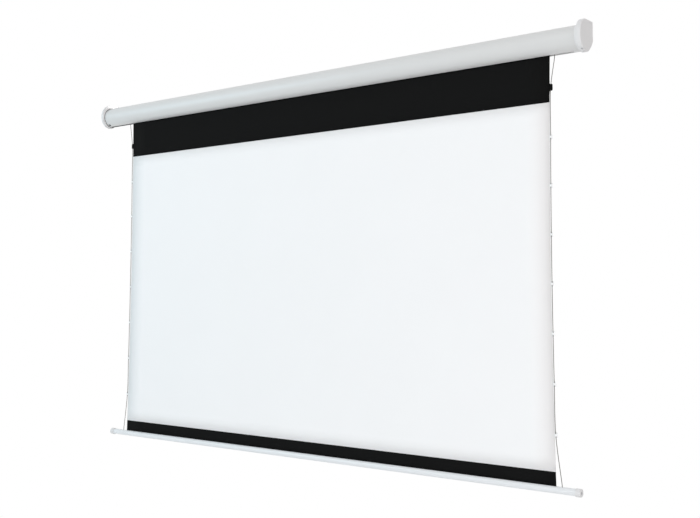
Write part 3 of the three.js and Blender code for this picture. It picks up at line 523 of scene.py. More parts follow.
def clean(bm):
    """Joins doubles and turns the faces outwards."""
    bmesh.ops.remove_doubles(bm, verts=bm.verts, dist=MERGE)
    bmesh.ops.dissolve_degenerate(bm, dist=MERGE, edges=bm.edges)
    bmesh.ops.recalc_face_normals(bm, faces=bm.faces)


def tidy_mesh(obj):
    """Cleans an object's mesh and sets the smooth shading."""
    bm = bmesh.new()
    bm.from_mesh(obj.data)
    clean(bm)
    soften(bm)
    bm.to_mesh(obj.data)
    bm.free()


def add_block(obj, low, high, rounding):
    """Adds a rounded block to an object's mesh."""
    bm = bmesh.new()
    bm.from_mesh(obj.data)
    block(bm, low, high, rounding)
    bm.to_mesh(obj.data)
    bm.free()


def mark_bare_and_shade(obj):
    """Marks the faces further in than the paint reaches, which are unpainted but coloured darker than bare
    metal as painted shade, and the slot's walls left of the fabric, darkened only as painted shade.
    """
    skin = casing_skin()
    marks = obj.data.attributes.new("bare_and_shade", "FLOAT", "FACE")
    for face, mark in zip(obj.data.polygons, marks.data):
        near = skin.find_nearest(Vector((0, *face.center.yz)))
        x, y, z = face.center
        # The slot's walls left of the fabric get the mask only as painted shade.
        across = x < -WHITE_HALF and abs(y - FABRIC_Y) < SLOT_HALF + PAINT_REACH
        up = PAINT_REACH - CASING_RADIUS < z < LIP_TOP + PAINT_REACH
        mark.value = float(near[3] > PAINT_REACH or across and up)


def dress(obj, slot, body, stands_for):
    """Gives a piece its finish and its body, and hides the node that it stands for."""
    obj.data.materials.clear()
    obj.data.materials.append(FINISHES[slot])
    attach(obj, body)
    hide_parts(stands_for)
    return obj


def finished(bm, slot, body, stands_for, name=None):
    """A bmesh as a dressed piece, named after the node that it stands for unless it has its own name."""
    bmesh.ops.recalc_face_normals(bm, faces=bm.faces)
    soften(bm)
    return dress(as_object(bm, name or f"{stands_for}_dressed"), slot, body, stands_for)


def thickened(obj, thickness, offset):
    """Gives an open sheet a thickness: offset is 0 for both ways, and 1 or -1 for one."""
    sheet = obj.modifiers.new("sheet", "SOLIDIFY")
    sheet.thickness = thickness
    sheet.offset = offset
    return sheet


# Materials: shared effects as node groups

def effect(name, inputs, outputs=(("Roughness", "Float"), ("Normal", "Vector"))):
    """A node group, the sockets that it is given, and those of its result."""
    tree = bpy.data.node_groups.new(name, "ShaderNodeTree")
    for label, kind, value in (("Colour", "Color", (1, 1, 1, 1)), *inputs):
        socket = tree.interface.new_socket(label, in_out="INPUT", socket_type=f"NodeSocket{kind}")
        socket.default_value = value
    for label, kind in (("Colour", "Color"), *outputs):
        tree.interface.new_socket(label, in_out="OUTPUT", socket_type=f"NodeSocket{kind}")
    return tree, tree.nodes.new("NodeGroupInput").outputs, tree.nodes.new("NodeGroupOutput").inputs


def node(tree, kind, links=(), **settings):
    """A node with its settings, and its inputs linked or set."""
    made = tree.nodes.new(f"ShaderNode{kind}")
    for key, value in settings.items():
        setattr(made, key, value)
    for socket, source in dict(links).items():
        if isinstance(source, bpy.types.NodeSocket):
            tree.links.new(source, made.inputs[socket])
        else:
            made.inputs[socket].default_value = source
    return made


def math(tree, operation, *values):
    return node(tree, "Math", dict(enumerate(values)), operation=operation).outputs[0]


def shade_out(tree, result, colour, value):
    """Puts out the colour made lighter or darker: a value of 1 leaves it."""
    made = node(tree, "HueSaturation", {"Color": colour, "Value": value})
    tree.links.new(made.outputs["Color"], result["Colour"])


def surface_out(tree, given, result, roughness, height):
    """Puts out the roughness, and the normal of a height."""
    relief = node(tree, "Bump", {"Height": height, "Distance": given["Relief"], "Strength": 1.0})
    tree.links.new(roughness, result["Roughness"])
    tree.links.new(relief.outputs["Normal"], result["Normal"])
    return tree


def noise(tree, place, scale, detail, roughness):
    return node(tree, "TexNoise", {
        "Vector": place, "Scale": scale, "Detail": detail, "Roughness": roughness}).outputs["Fac"]


def spread(tree, value, width, middle):
    """A value that runs from 0 to 1, spread over a width about a middle."""
    return math(tree, "MULTIPLY_ADD", math(tree, "SUBTRACT", value, 0.5), width, middle)


def wave(tree, turns):
    return math(tree, "SINE", math(tree, "MULTIPLY", turns, 2 * pi))


def build_grain():
    """Fine grain on paint and moulded plastic, with a darker colour where the piece's mask of unpainted
    faces and painted shade is 1.
    """
    tree, given, result = effect("surface_grain", [
        ("Bare and shade colour", "Color", (0.1, 0.1, 0.1, 1)),
        ("Grain per metre", "Float", 800),
        ("Relief", "Float", 0.00002),
        ("Drift", "Float", 0.02),
        ("Roughness", "Float", 0.4),
        ("Roughness spread", "Float", 0.08),
    ])
    place = node(tree, "TexCoord").outputs["Object"]
    bare_and_shade = node(tree, "Attribute", attribute_name="bare_and_shade").outputs["Fac"]
    both = node(tree, "MixRGB", {0: bare_and_shade, 1: given["Colour"], 2: given["Bare and shade colour"]})
    fine = noise(tree, place, given["Grain per metre"], detail=2.0, roughness=0.5)
    slow = noise(tree, place, scale=6.0, detail=3.0, roughness=0.6)
    patches = noise(tree, place, scale=55.0, detail=4.0, roughness=0.6)
    shade_out(tree, result, both.outputs["Color"], spread(tree, slow, given["Drift"], 1.0))
    rough = spread(tree, patches, given["Roughness spread"], given["Roughness"])
    return surface_out(tree, given, result, rough, fine)


def build_weave():
    """Plain weave under a coating: crossed threads along X and Z."""
    tree, given, result = effect("coated_weave", [
        ("Thread pitch", "Float", 0.0008),
        ("Relief", "Float", 0.00002),
        ("Shade", "Float", 0.03),
        ("Roughness", "Float", 0.85),
    ])
    place = node(tree, "TexCoord").outputs["Object"]
    across = node(tree, "SeparateXYZ", {"Vector": place}).outputs
    crossed = math(tree, "MULTIPLY", *(
        wave(tree, math(tree, "DIVIDE", across[axis], given["Thread pitch"])) for axis in ("X", "Z")))
    slow = noise(tree, place, scale=3.0, detail=2.0, roughness=0.5)
    mottle = math(tree, "ADD", slow, math(tree, "MULTIPLY", crossed, THREAD_SHARE))
    shade_out(tree, result, given["Colour"], spread(tree, mottle, given["Shade"], 1.0))
    rough = spread(tree, mottle, WEAVE_ROUGHNESS_SPREAD, given["Roughness"])
    return surface_out(tree, given, result, rough, crossed)


def build_brushing():
    """Fine drawn lines along one direction, on bare metal."""
    tree, given, result = effect("drawn_metal", [
        ("Stretch", "Vector", (20, 900, 900)),
        ("Relief", "Float", 0.00001),
        ("Roughness", "Float", 0.4),
    ])
    place = node(tree, "TexCoord").outputs["Object"]
    drawn = node(tree, "VectorMath", {0: place, 1: given["Stretch"]}, operation="MULTIPLY")
    lines = noise(tree, drawn.outputs["Vector"], scale=1.0, detail=3.0, roughness=0.6)
    shade_out(tree, result, given["Colour"], spread(tree, lines, DRAWN_SHADE, 1.0))
    rough = spread(tree, lines, DRAWN_ROUGHNESS_SPREAD, given["Roughness"])
    return surface_out(tree, given, result, rough, lines)


def build_braid():
    """A braided cord's crossed strands, along the piece's own UV map, darker in the grooves and lighter on
    the crowns as painted shade.
    """
    tree, given, result = effect("braid", [
        ("Strands", "Float", 6),
        ("Turns per metre", "Float", 260),
        ("Relief", "Float", 0.0001),
    ], [("Height", "Float")])
    run = node(tree, "SeparateXYZ", {"Vector": node(tree, "UVMap").outputs["UV"]}).outputs
    around = math(tree, "MULTIPLY", run["X"], given["Strands"])
    along = math(tree, "MULTIPLY", run["Y"], given["Turns per metre"])
    height = math(tree, "MAXIMUM", *(
        wave(tree, math(tree, operation, around, along)) for operation in ("ADD", "SUBTRACT")))
    # Painted shade: the colour follows the strands' height, so the grooves are darker.
    shade = math(tree, "MULTIPLY_ADD", height, BRAID_GROOVE_SHADE, BRAID_LEVEL)
    shade_out(tree, result, given["Colour"], shade)
    tree.links.new(math(tree, "MULTIPLY", height, given["Relief"]), result["Height"])
    return tree


GRAIN = build_grain()
WEAVE = build_weave()
BRUSHING = build_brushing()
BRAID = build_braid()


def colour(red, green, blue):
    """A screen colour, 0 to 255, as the linear colour that a shader takes."""
    def linear(value):
        share = value / 255
        return share / 12.92 if share <= 0.04045 else ((share + 0.055) / 1.055) ** 2.4
    return (linear(red), linear(green), linear(blue), 1)


def new_material(name):
    """A material, its node tree and its Principled shader."""
    made = bpy.data.materials.new(name)
    made.use_nodes = True
    return made, made.node_tree, made.node_tree.nodes["Principled BSDF"]


def finish(name, group, tint, settings, **shader):
    """A material that takes its colour, roughness and normal from one effect."""
    made, tree, surface = new_material(name)
    for key, value in shader.items():
        surface.inputs[key.replace("_", " ")].default_value = value
    look = node(tree, "Group", {"Colour": tint, **settings}, node_tree=group)
    tree.links.new(look.outputs["Colour"], surface.inputs["Base Color"])
    tree.links.new(look.outputs["Roughness"], surface.inputs["Roughness"])
    tree.links.new(look.outputs["Normal"], surface.inputs["Normal"])
    return made


def paint(name, tint, roughness=0.38):
    # The bare colour is painted shade: the casing's unpainted inside, hole walls and left slot walls are
    # made darker than bare aluminium.
    return finish(name, GRAIN, tint, {
        "Bare and shade colour": colour(58, 59, 61),
        "Grain per metre": 700.0, "Relief": 0.012 * MM, "Drift": 0.02, "Roughness": roughness,
        "Roughness spread": 0.04}, Coat_Weight=0.15, Coat_Roughness=0.3)


def plastic(name, tint, roughness=0.5, relief=0.02):
    # The bare colour is painted shade, used on the cap's seam floor and wall.
    return finish(name, GRAIN, tint, {
        "Bare and shade colour": colour(22, 22, 24),
        "Grain per metre": 2200.0, "Relief": relief * MM, "Drift": 0.03, "Roughness": roughness,
        "Roughness spread": 0.1})


def sheeting(name, tint, roughness, shade, gloss):
    return finish(name, WEAVE, tint, {
        "Thread pitch": 0.9 * MM, "Relief": 0.006 * MM, "Shade": shade, "Roughness": roughness},
        Specular_IOR_Level=gloss)


def metal(name, tint, roughness, stretch=(20, 900, 900)):
    return finish(name, BRUSHING, tint, {
        "Stretch": stretch, "Relief": 0.005 * MM, "Roughness": roughness}, Metallic=1.0)


def braided(name, tint):
    made, tree, surface = new_material(name)
    surface.inputs["Roughness"].default_value = BRAID_ROUGHNESS
    look = node(tree, "Group", {"Colour": tint}, node_tree=BRAID)
    relief = node(tree, "Bump", {"Height": look.outputs["Height"], "Distance": 1.0, "Strength": 1.0})
    tree.links.new(look.outputs["Colour"], surface.inputs["Base Color"])
    tree.links.new(relief.outputs["Normal"], surface.inputs["Normal"])
    return made


FINISHES = {
    "casing_white": paint("casing_paint", colour(216, 215, 214)),
    "cap_white": plastic("cap_plastic", colour(226, 224, 224)),
    "bar_white": paint("bar_paint", colour(232, 233, 235)),
    "screen_white": sheeting("screen_front", colour(248, 246, 246), 0.85, 0.02, 0.3),
    "screen_black": sheeting("screen_mask", colour(19, 19, 19), 0.9, 0.15, 0.07),
    "tab_strip": plastic("tab_plastic", colour(250, 250, 250), 0.55, 0.01),
    "tension_cord": braided("cord_braid", colour(96, 92, 86)),
    "steel": metal("zinc_steel", colour(206, 208, 211), 0.42),
    "bare_aluminium": metal("mill_aluminium", colour(196, 198, 202), 0.42),
    "dark_plastic": plastic("dark_plastic", colour(44, 45, 48), 0.5),
    "brass": metal("turned_brass", colour(196, 160, 92), 0.35, (900, 60, 60)),
    "winding_copper": metal("winding_copper", colour(168, 98, 58), 0.45, (900, 40, 40)),
    "circuit_board": plastic("circuit_board", colour(38, 92, 58), 0.45, 0.01),
    "nylon": plastic("nylon", colour(226, 222, 210), 0.5, 0.01),
}
for part in frame["record"]["subparts"]:
    carried = frame["nodes"][part["node"]]
    carried.data.materials.clear()
    carried.data.materials.append(FINISHES[part["material_slot"]])


# Casing: one wall drawn round from slot lip to slot lip, and an inner shelf

def casing_chain(bm, x):
    """The casing's outer line across, from the front lip round the front, top and back."""
    slot_front = FABRIC_Y - SLOT_HALF
    slot_back = FABRIC_Y + SLOT_HALF
    front_low = -sqrt(CASING_RADIUS ** 2 - (slot_front + CASING_RADIUS) ** 2)
    swing = pi - asin(-(slot_front + CASING_RADIUS) / CASING_RADIUS)
    pen = line_to(bm, start_at(bm, x, slot_front, LIP_TOP), slot_front, front_low)
    pen = arc_to(bm, pen, (-CASING_RADIUS, 0), -swing, ARC_STEPS)
    pen = line_to(bm, pen, -BACK_CORNER, CASING_RADIUS)
    pen = arc_to(bm, pen, (-BACK_CORNER, CASING_RADIUS - BACK_CORNER), -pi / 2, CORNER_STEPS)
    pen = line_to(bm, pen, 0, -BACK_FLAT_LOW)
    pen = curve_to(bm, pen, [
        (0, -BACK_FLAT_LOW - BACK_HANDLE_SHARE * CASING_RADIUS),
        (LOW_HANDLE_SHARE * slot_back, -CASING_RADIUS),
        (slot_back, -CASING_RADIUS),
    ], ARC_STEPS // 2)
    line_to(bm, pen, slot_back, LIP_TOP)


def run_along(bm, *stations):
    """Extrudes the drawn chain along X from station to station."""
    edges = list(bm.edges)
    for station in stations:
        made = bmesh.ops.extrude_edge_only(bm, edges=edges)["geom"]
        edges = [e for e in made if isinstance(e, bmesh.types.BMEdge)]
        verts = [v for v in made if isinstance(v, bmesh.types.BMVert)]
        for vert in verts:
            vert.co.x = station


def access_cutters(ease):
    """Round cutters out from the roller's axis, through the casing and the left cap's sleeve."""
    place = (LIMIT_X, ROLLER_Y, 0)
    cutters = []
    for turn, radius in zip(ACCESS_TURNS, ACCESS_RADII):
        direction = Vector((0, cos(radians(turn)), sin(radians(turn))))
        start = Vector(place) + direction * (ROLLER_RADIUS + ACCESS_START)
        cutters.append(cylinder_cutter(start, direction, radius + ease, 2 * CASING_RADIUS))
    return cutters


def walled(bm, name, middle, thickness, lip):
    """A drawn skin as an object with a wall inwards from it and rounded lips."""
    bmesh.ops.recalc_face_normals(bm, faces=bm.faces)
    about = Vector((0, *middle))
    outward = sum(f.calc_area() * f.normal.dot(f.calc_center_median() - about) for f in bm.faces)
    if outward < 0:
        bmesh.ops.reverse_faces(bm, faces=bm.faces)
    obj = as_object(bm, name)
    thickened(obj, thickness, -1).use_even_offset = True
    lips = obj.modifiers.new("lips", "BEVEL")
    lips.width = lip
    lips.segments = ROUND_STEPS
    lips.limit_method = "ANGLE"
    lips.angle_limit = LIP_ANGLE
    return with_modifiers_applied(obj)


def make_casing():
    bm = bmesh.new()
    casing_chain(bm, CASING_LEFT)
    run_along(bm, CASING_LEFT + HOLED_LENGTH, -WHITE_HALF, CASING_RIGHT)
    casing = walled(bm, "casing_dressed", (-CASING_RADIUS, 0), CASING_WALL, LIP_ROUND)
    cut(casing, access_cutters(0))
    add_block(
        casing, (CASING_LEFT, SHELF_ROOT - 2 * CASING_RADIUS, SHELF_Z - CASING_WALL),
        (CASING_RIGHT, SHELF_EDGE, SHELF_Z), SHELF_ROUND)
    tidy_mesh(casing)
    mark_bare_and_shade(casing)
    dress(casing, "casing_white", "casing", "casing_shell")


# End caps: rings from the pocket, out over a filleted collar and round to a recessed face

def cap_chain(bm, x):
    """The cap's outline, with its raised ear at the back."""
    middle = -CAP_DEPTH / 2
    pen = first = start_at(bm, x, 0, -CAP_BACK_LOW)
    pen = line_to(bm, pen, 0, CASING_RADIUS / 2)
    pen = line_to(bm, pen, 0, CAP_TOP - CAP_CORNER)
    pen = arc_to(bm, pen, (-CAP_CORNER, CAP_TOP - CAP_CORNER), pi / 2, CORNER_STEPS)
    pen = line_to(bm, pen, middle / 2, CAP_TOP)
    pen = line_to(bm, pen, middle, CAP_TOP)
    high = CAP_TOP - CAP_SHOULDER
    pen = arc_to(bm, pen, (middle, CAP_SHOULDER), pi / 2, ARC_STEPS // 2, (-middle / high, 1))
    pen = line_to(bm, pen, -CAP_DEPTH, 0)
    pen = arc_to(bm, pen, (middle, 0), pi / 2, ARC_STEPS // 2, (1, CAP_BOTTOM / -middle))
    pen = curve_to(bm, pen, [
        (middle * CAP_BOTTOM_HANDLE_SHARE, -CAP_BOTTOM),
        (0, -CAP_BACK_LOW - CAP_BACK_HANDLE_SHARE * CAP_BOTTOM),
        (0, -CAP_BACK_LOW),
    ], ARC_STEPS // 2)
    bmesh.ops.pointmerge(bm, verts=[pen, first], merge_co=first.co)


def ordered_ring(bm):
    """A closed chain's vertices in turn."""
    first = next(iter(bm.verts))
    ring = [first]
    while True:
        ahead = [e.other_vert(ring[-1]) for e in ring[-1].link_edges]
        fresh = [v for v in ahead if v not in ring[-2:-1]]
        if fresh[0] is first or len(ring) == len(bm.verts):
            return ring
        ring.append(fresh[0])


def casing_skin():
    """The casing's outer skin, to measure from."""
    bm = bmesh.new()
    casing_chain(bm, -1)
    run_along(bm, 1)
    return BVHTree.FromBMesh(bm)


def skin_place(skin, centre, way):
    """Where a way out from the casing's middle meets its skin, or its bottom level over the slot."""
    hit = skin.ray_cast(centre + CASING_RADIUS * RAY_START_SHARE * way, -way)[0]
    over_slot = hit is None or (hit - centre).dot(way) < 0
    return centre - way * (CASING_RADIUS / way.z) if over_slot else hit


def make_cap(side):
    name = WORDS[side]
    face = casing_end(side)
    form = COLLARS[name]
    skin = casing_skin()
    bm = bmesh.new()
    cap_chain(bm, 0)
    ring = ordered_ring(bm)
    outline = [v.co.copy() for v in ring]
    centre = Vector((0, -CASING_RADIUS, 0))
    ways = [(point - centre).normalized() for point in outline]
    hits = []
    for way, point in zip(ways, outline):
        hit = skin_place(skin, centre, way)
        hits.append(point.copy() if (hit - centre).length > (point - centre).length else hit)
    gaps = [(point - hit).length for point, hit in zip(outline, hits)]
    overlaps = [form["overlap"] * min(1, -point.y / OVERLAP_EASE) for point in outline]

    def around(depth, off):
        """A ring at a depth out from the casing's end, an offset out from the casing's skin."""
        return [
            Vector((face + side * depth, *(hit + way * min(off, gap)).yz))
            for hit, way, gap in zip(hits, ways, gaps)]

    def collar_ring(place):
        """A ring of the collar: place gives a depth and an offset from the seam, lip and fillet."""
        places = []
        for hit, way, gap, overlap in zip(hits, ways, gaps, overlaps):
            start = min(form["seam"] + COLLAR_LIP, gap / 2)
            radius = min(COLLAR_FILLET, max(0, gap - start) * FILLET_SHARE)
            seam = start * form["seam"] / (form["seam"] + COLLAR_LIP)
            depth, off = place(seam, start, radius, overlap)
            places.append(Vector((face - side * depth, *(hit + way * off).yz)))
        return places

    def collar(turn):
        """A ring on the collar's fillet, from its lip to the cap's inner face."""
        return collar_ring(lambda seam, start, radius, overlap: (
            radius * form["reach"] * (1 - sin(turn)) + overlap, start + radius * (1 - cos(turn))))

    def lip(off_share):
        """The collar's end, beside the seam."""
        return collar_ring(lambda seam, start, radius, overlap: (
            radius * form["reach"] + overlap, seam + (start - seam) * off_share))

    def seam_floor(off_share):
        """The seam's floor, a little under the collar's end: it and the seam's inner wall are coloured
        near black as painted shade in the gap.
        """
        return collar_ring(lambda seam, start, radius, overlap: (
            max(0, radius * form["reach"] + overlap - form["floor"]),
            min(SLEEVE_TOUCH, seam) * (1 - off_share) + seam * off_share))

    def shoulder(turn):
        """The rounded edge between the cap's inner face and its outline."""
        places = []
        for way, point, gap, overlap in zip(ways, outline, gaps, overlaps):
            radius = min(INNER_ROUND, gap * INNER_ROUND_SHARE)
            depth = radius * (1 - cos(turn)) - overlap
            places.append(Vector((face + side * depth, *(point - way * radius * (1 - sin(turn))).yz)))
        return places

    def scaled(depth, share):
        """The outline drawn in towards its middle, at a depth out from the casing's end."""
        return [
            Vector((face + side * depth, *(CAP_MIDDLE + (point - CAP_MIDDLE) * (1 - share)).yz))
            for point in outline]

    def edge(turn):
        """The rounded edge round the cap's face."""
        return scaled(
            CAP_THICKNESS - OUTER_ROUND * (1 - sin(turn)), 2 * OUTER_ROUND * (1 - cos(turn)) / CAP_DEPTH)

    rings = [around(POCKET_DEPTH, SLEEVE_INNER), around(-SLEEVE_LENGTH, SLEEVE_INNER)]
    rings += [around(-SLEEVE_LENGTH, SLEEVE_OUTER), around(0, SLEEVE_OUTER)]
    rings += [around(0, SLEEVE_TOUCH), seam_floor(0)]
    seam_end = len(rings) + 1
    rings += [seam_floor(1), *(lip(share) for share in LIP_OFF_SHARES)]
    rings += [collar(turn) for turn in quarter(CORNER_STEPS)]
    rings += [shoulder(turn) for turn in quarter(SHOULDER_STEPS)]
    rings += [edge(turn) for turn in quarter(CORNER_STEPS)]
    rings += [scaled(CAP_THICKNESS - RECESS_DEPTH * deep, share) for deep, share in RIM_SLOPE]
    for vert, place in zip(ring, rings[0]):
        vert.co = place
    fill_ring(bm, ring)
    # The seam's floor and inner wall get the mask: near-black painted shade in the gap between cap and
    # casing.
    bare_and_shade = bm.faces.layers.float.new("bare_and_shade")
    for number, places in enumerate(rings[1:], 1):
        before = set(bm.faces)
        ring = next_ring(bm, ring, places)
        for face in set(bm.faces) - before:
            face[bare_and_shade] = float(seam_end - 1 <= number <= seam_end)
    fill_ring(bm, ring)
    clean(bm)
    cap = as_object(bm, f"end_cap_{name}_dressed")
    cut(cap, cap_cutters(side))
    add_tongue(cap, side)
    tidy_mesh(cap)
    dress(cap, "cap_white", "casing", f"end_cap_{name}")


def cap_cutters(side):
    """The slot through the sleeve, the keyhole and the two screw seats."""
    face = casing_end(side)
    middle = face + side * CAP_THICKNESS / 2
    slot = CASING_WALL + SLEEVE_GAP
    inner, outer = sorted((face, face - side * (SLEEVE_LENGTH + CUT_PAST)))
    neck_top = KEYHOLE_Z + KEYHOLE_RISE
    cutters = [
        block_cutter(
            (inner, FABRIC_Y - SLOT_HALF - slot, -CASING_RADIUS - CUT_PAST),
            (outer, FABRIC_Y + SLOT_HALF + slot, LIP_TOP)),
        cylinder_cutter(
            (middle, -KEYHOLE_DEPTH, KEYHOLE_Z), (0, 1, 0), KEYHOLE_RADIUS, KEYHOLE_DEPTH + CUT_PAST),
        block_cutter(
            (middle - KEYHOLE_NECK / 2, -KEYHOLE_DEPTH, KEYHOLE_Z),
            (middle + KEYHOLE_NECK / 2, CUT_PAST, neck_top)),
        block_cutter(
            (middle - KEYHOLE_RADIUS, -KEYHOLE_DEPTH, KEYHOLE_Z),
            (middle + KEYHOLE_RADIUS, -KEYHOLE_LIP, neck_top + KEYHOLE_NECK / 2)),
    ]
    name = WORDS[side]
    for where in ("front", "rear"):
        screw = f"cap_screw_{name}_{where}"
        place = (*middle_of(screw)[:2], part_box(screw)[0].z + SCREW_HEIGHT + SEAT_GAP)
        cutters.append(cylinder_cutter(place, (0, 0, -1), SCREW_RADIUS + SEAT_GAP, 2 * CASING_RADIUS))
    if side < 0:
        y, z = INLET_MIDDLE
        half_width = INLET_HALF_WIDTH + SEAT_GAP
        half_height = INLET_HALF_HEIGHT + SEAT_GAP
        cutters += access_cutters(SLEEVE_EASE)
        cutters.append(block_cutter(
            (face - CAP_THICKNESS - CUT_PAST, y - half_width, z - half_height),
            (face, y + half_width, z + half_height)))
    return cutters


def add_tongue(cap, side):
    """The tongue that closes the slot's end."""
    name = WORDS[side]
    low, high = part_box(f"end_cap_{name}")
    inner, outer = (low.x, CASING_RIGHT) if side > 0 else (CASING_LEFT, high.x)
    bottom = TONGUE_LOWS[name]
    add_block(
        cap, (inner, TONGUE_FRONT, bottom), (outer, TONGUE_BACK, bottom + TONGUE_HEIGHT), TONGUE_ROUND)


# Fabric: panels with bowed sides, and the turns that stay on the roller

def fabric_half(z):
    """Half of the fabric's width at a height."""
    off = (z - WHITE_MIDDLE) / (WHITE_TOP - WHITE_MIDDLE)
    return WHITE_HALF - SIDE_BOW * (1 - off * off)


def follow_bar(obj):
    """Gives a piece that hangs from the roller a mesh of its own."""
    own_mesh(obj)


def make_panel(name, slot, low, high, rows):
    bm = bmesh.new()
    bmesh.ops.create_grid(bm, x_segments=PANEL_COLUMNS, y_segments=rows, size=1)
    for vert in bm.verts:
        z = low + (high - low) * (vert.co.y + 1) / 2
        vert.co = (vert.co.x * fabric_half(z), FABRIC_Y, z)
    area = sum(face.calc_area() for face in bm.faces)
    panel = finished(bm, slot, "casing", name)
    thickened(panel, FABRIC_THICKNESS, 0)
    with_modifiers_applied(panel)
    follow_bar(panel)


def make_fabric_roll():
    half = fabric_half(0)
    bm = bmesh.new()
    steps = ROLL_TURNS * ARC_STEPS
    places = []
    for i in range(steps + 1):
        turn = 2 * pi * i / ARC_STEPS
        radius = ROLLER_RADIUS + ROLL_GAP + FABRIC_THICKNESS * i / ARC_STEPS
        places.append(Vector((-half, ROLLER_Y - radius * cos(turn), radius * sin(turn))))
    pen = start_at(bm, *places[0])
    for place in places[1:]:
        pen = line_to(bm, pen, place.y, place.z)
    run_along(bm, half)
    roll = finished(bm, "screen_black", "roller", "fabric_roll")
    face = roll.data.polygons[0]
    outward = face.normal.dot(face.center - Vector((face.center.x, ROLLER_Y, 0)))
    thickened(roll, ROLL_CLOTH, 1 if outward > 0 else -1)
    with_modifiers_applied(roll)


# Tab strips behind the fabric's edges, and the tabs' bridges over the cords

def cord_x(z):
    """How far out the cord runs beside the fabric at a height."""
    return fabric_half(z) + CORD_OUTBOARD


def tab_levels():
    """The heights of the tabs: even steps about the picture's middle."""
    pitch = (WHITE_TOP - WHITE_BOTTOM) * TAB_PITCH_SHARE
    return [WHITE_MIDDLE + pitch * ((TAB_COUNT - 1) / 2 - i) for i in range(TAB_COUNT)]


def tab_edge(bm, pen, z, tab):
    """One tab's edge, from its upper shoulder to its lower one. Y stands for the way out along X."""
    half, base_half, corner = tab["half"], tab["base_half"], tab["corner"]
    inner = fabric_half(z)
    outer = cord_x(z) + TAB_REACH
    neck = (inner + cord_x(z)) / 2
    top = z + half
    bottom = z - half
    pen = line_to(bm, pen, fabric_half(z + base_half), z + base_half)
    pen = bend_to(bm, pen, (inner, top), (neck, top))
    pen = line_to(bm, pen, outer - corner, top)
    pen = bend_to(bm, pen, (outer, top), (outer, top - corner))
    pen = line_to(bm, pen, outer, bottom + corner)
    pen = bend_to(bm, pen, (outer, bottom), (outer - corner, bottom))
    pen = line_to(bm, pen, neck, bottom)
    return bend_to(bm, pen, (inner, bottom), (fabric_half(z - base_half), z - base_half))


def bridge_mesh(half):
    """The arch over the cord, with the cord's centre at the origin. Y stands for the way out along X."""
    outer = BRIDGE_BORE + BRIDGE_WALL
    foot = CORD_Y - STRIP_Y
    bm = bmesh.new()
    pen = first = start_at(bm, 0, -outer, foot)
    pen = line_to(bm, pen, -outer, 0)
    pen = arc_to(bm, pen, (0, 0), -pi, 2 * CORNER_STEPS)
    pen = line_to(bm, pen, outer, foot)
    pen = line_to(bm, pen, BRIDGE_BORE, foot)
    pen = line_to(bm, pen, BRIDGE_BORE, 0)
    pen = arc_to(bm, pen, (0, 0), pi, 2 * CORNER_STEPS)
    pen = line_to(bm, pen, -BRIDGE_BORE, foot)
    bm.edges.new((pen, first))
    filled_and_extruded(bm, (2 * half, 0, 0))
    edges = [e for e in bm.edges if abs(e.verts[0].co.x - e.verts[1].co.x) < half]
    bevel(bm, edges, BRIDGE_EDGE, 2)
    for vert in bm.verts:
        along, out, front = vert.co
        vert.co = (out, -front, along - half)
    mesh = bpy.data.meshes.new("bridge")
    bm.to_mesh(mesh)
    bm.free()
    return mesh


def make_strip(name, slot, side, low, high, levels, tab):
    """A strip behind the fabric's edge with its tabs, drawn as a right-hand one."""
    bm = bmesh.new()
    pen = first = start_at(bm, 0, fabric_half(high) - STRIP_WIDTH, high)
    pen = line_to(bm, pen, fabric_half(high), high)
    for z in levels:
        pen = tab_edge(bm, pen, z, tab)
    pen = line_to(bm, pen, fabric_half(low), low)
    pen = line_to(bm, pen, fabric_half(low) - STRIP_WIDTH, low)
    for z in reversed(levels):
        pen = line_to(bm, pen, fabric_half(z) - STRIP_WIDTH, z)
    bm.edges.new((pen, first))
    filled_and_extruded(bm, (STRIP_THICKNESS, 0, 0))
    edges = [e for e in bm.edges if abs(e.verts[0].co.x - e.verts[1].co.x) < TAB_EDGE]
    bevel(bm, edges, TAB_EDGE, 1)
    for vert in bm.verts:
        through, out, height = vert.co
        vert.co = (out, STRIP_Y + through - STRIP_THICKNESS / 2, height)
    bridge = bridge_mesh(tab["bridge_half"])
    for z in levels:
        add_mesh(bm, bridge, (cord_x(z), CORD_Y, z))
    bmesh.ops.scale(bm, vec=(side, 1, 1), verts=bm.verts)
    follow_bar(finished(bm, slot, "casing", name))


def make_cord(side):
    name = f"tension_cord_{WORDS[side]}"
    low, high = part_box(name)
    levels = [BLACK_TAB_Z, *tab_levels()]
    route = [(CORD_ENTRY, z) for z in (high.z, -CASING_RADIUS / 2, -CASING_RADIUS)]
    route += [(cord_x(z), z) for z in levels]
    route += [(CORD_ENTRY, BAR_Z + BAR_RADIUS), (CORD_ENTRY, low.z)]
    points = [Vector((side * x, CORD_Y, z)) for x, z in route]
    places = places_through(points, CORD_STEPS)
    bm = bmesh.new()
    tube(bm, places, CORD_RADIUS)
    cord = finished(bm, "tension_cord", "casing", name)
    follow_bar(cord)


# Bottom bar: a slotted tube, its end caps, and the rod in the fabric's hem

def make_bar():
    open_turn = asin(BAR_SLOT / 2 / BAR_RADIUS)
    bm = bmesh.new()
    pen = start_at(bm, bar_low.x, FABRIC_Y - BAR_SLOT / 2, BAR_Z + BAR_RADIUS * cos(open_turn))
    arc_to(bm, pen, (FABRIC_Y, BAR_Z), 2 * (pi - open_turn), 2 * ARC_STEPS)
    run_along(bm, bar_high.x)
    bar = walled(bm, "bar_tube_dressed", (FABRIC_Y, BAR_Z), BAR_WALL, BAR_LIP)
    tidy_mesh(bar)
    dress(bar, "bar_white", "bar", "bar_tube")


def rounded(start, end):
    """A quarter round between two profile points: it leaves the first along its radius."""
    (x0, r0), (x1, r1) = start, end
    return [
        (x0 + (x1 - x0) * (1 - cos(turn)), r0 + (r1 - r0) * sin(turn)) for turn in quarter(CORNER_STEPS)]


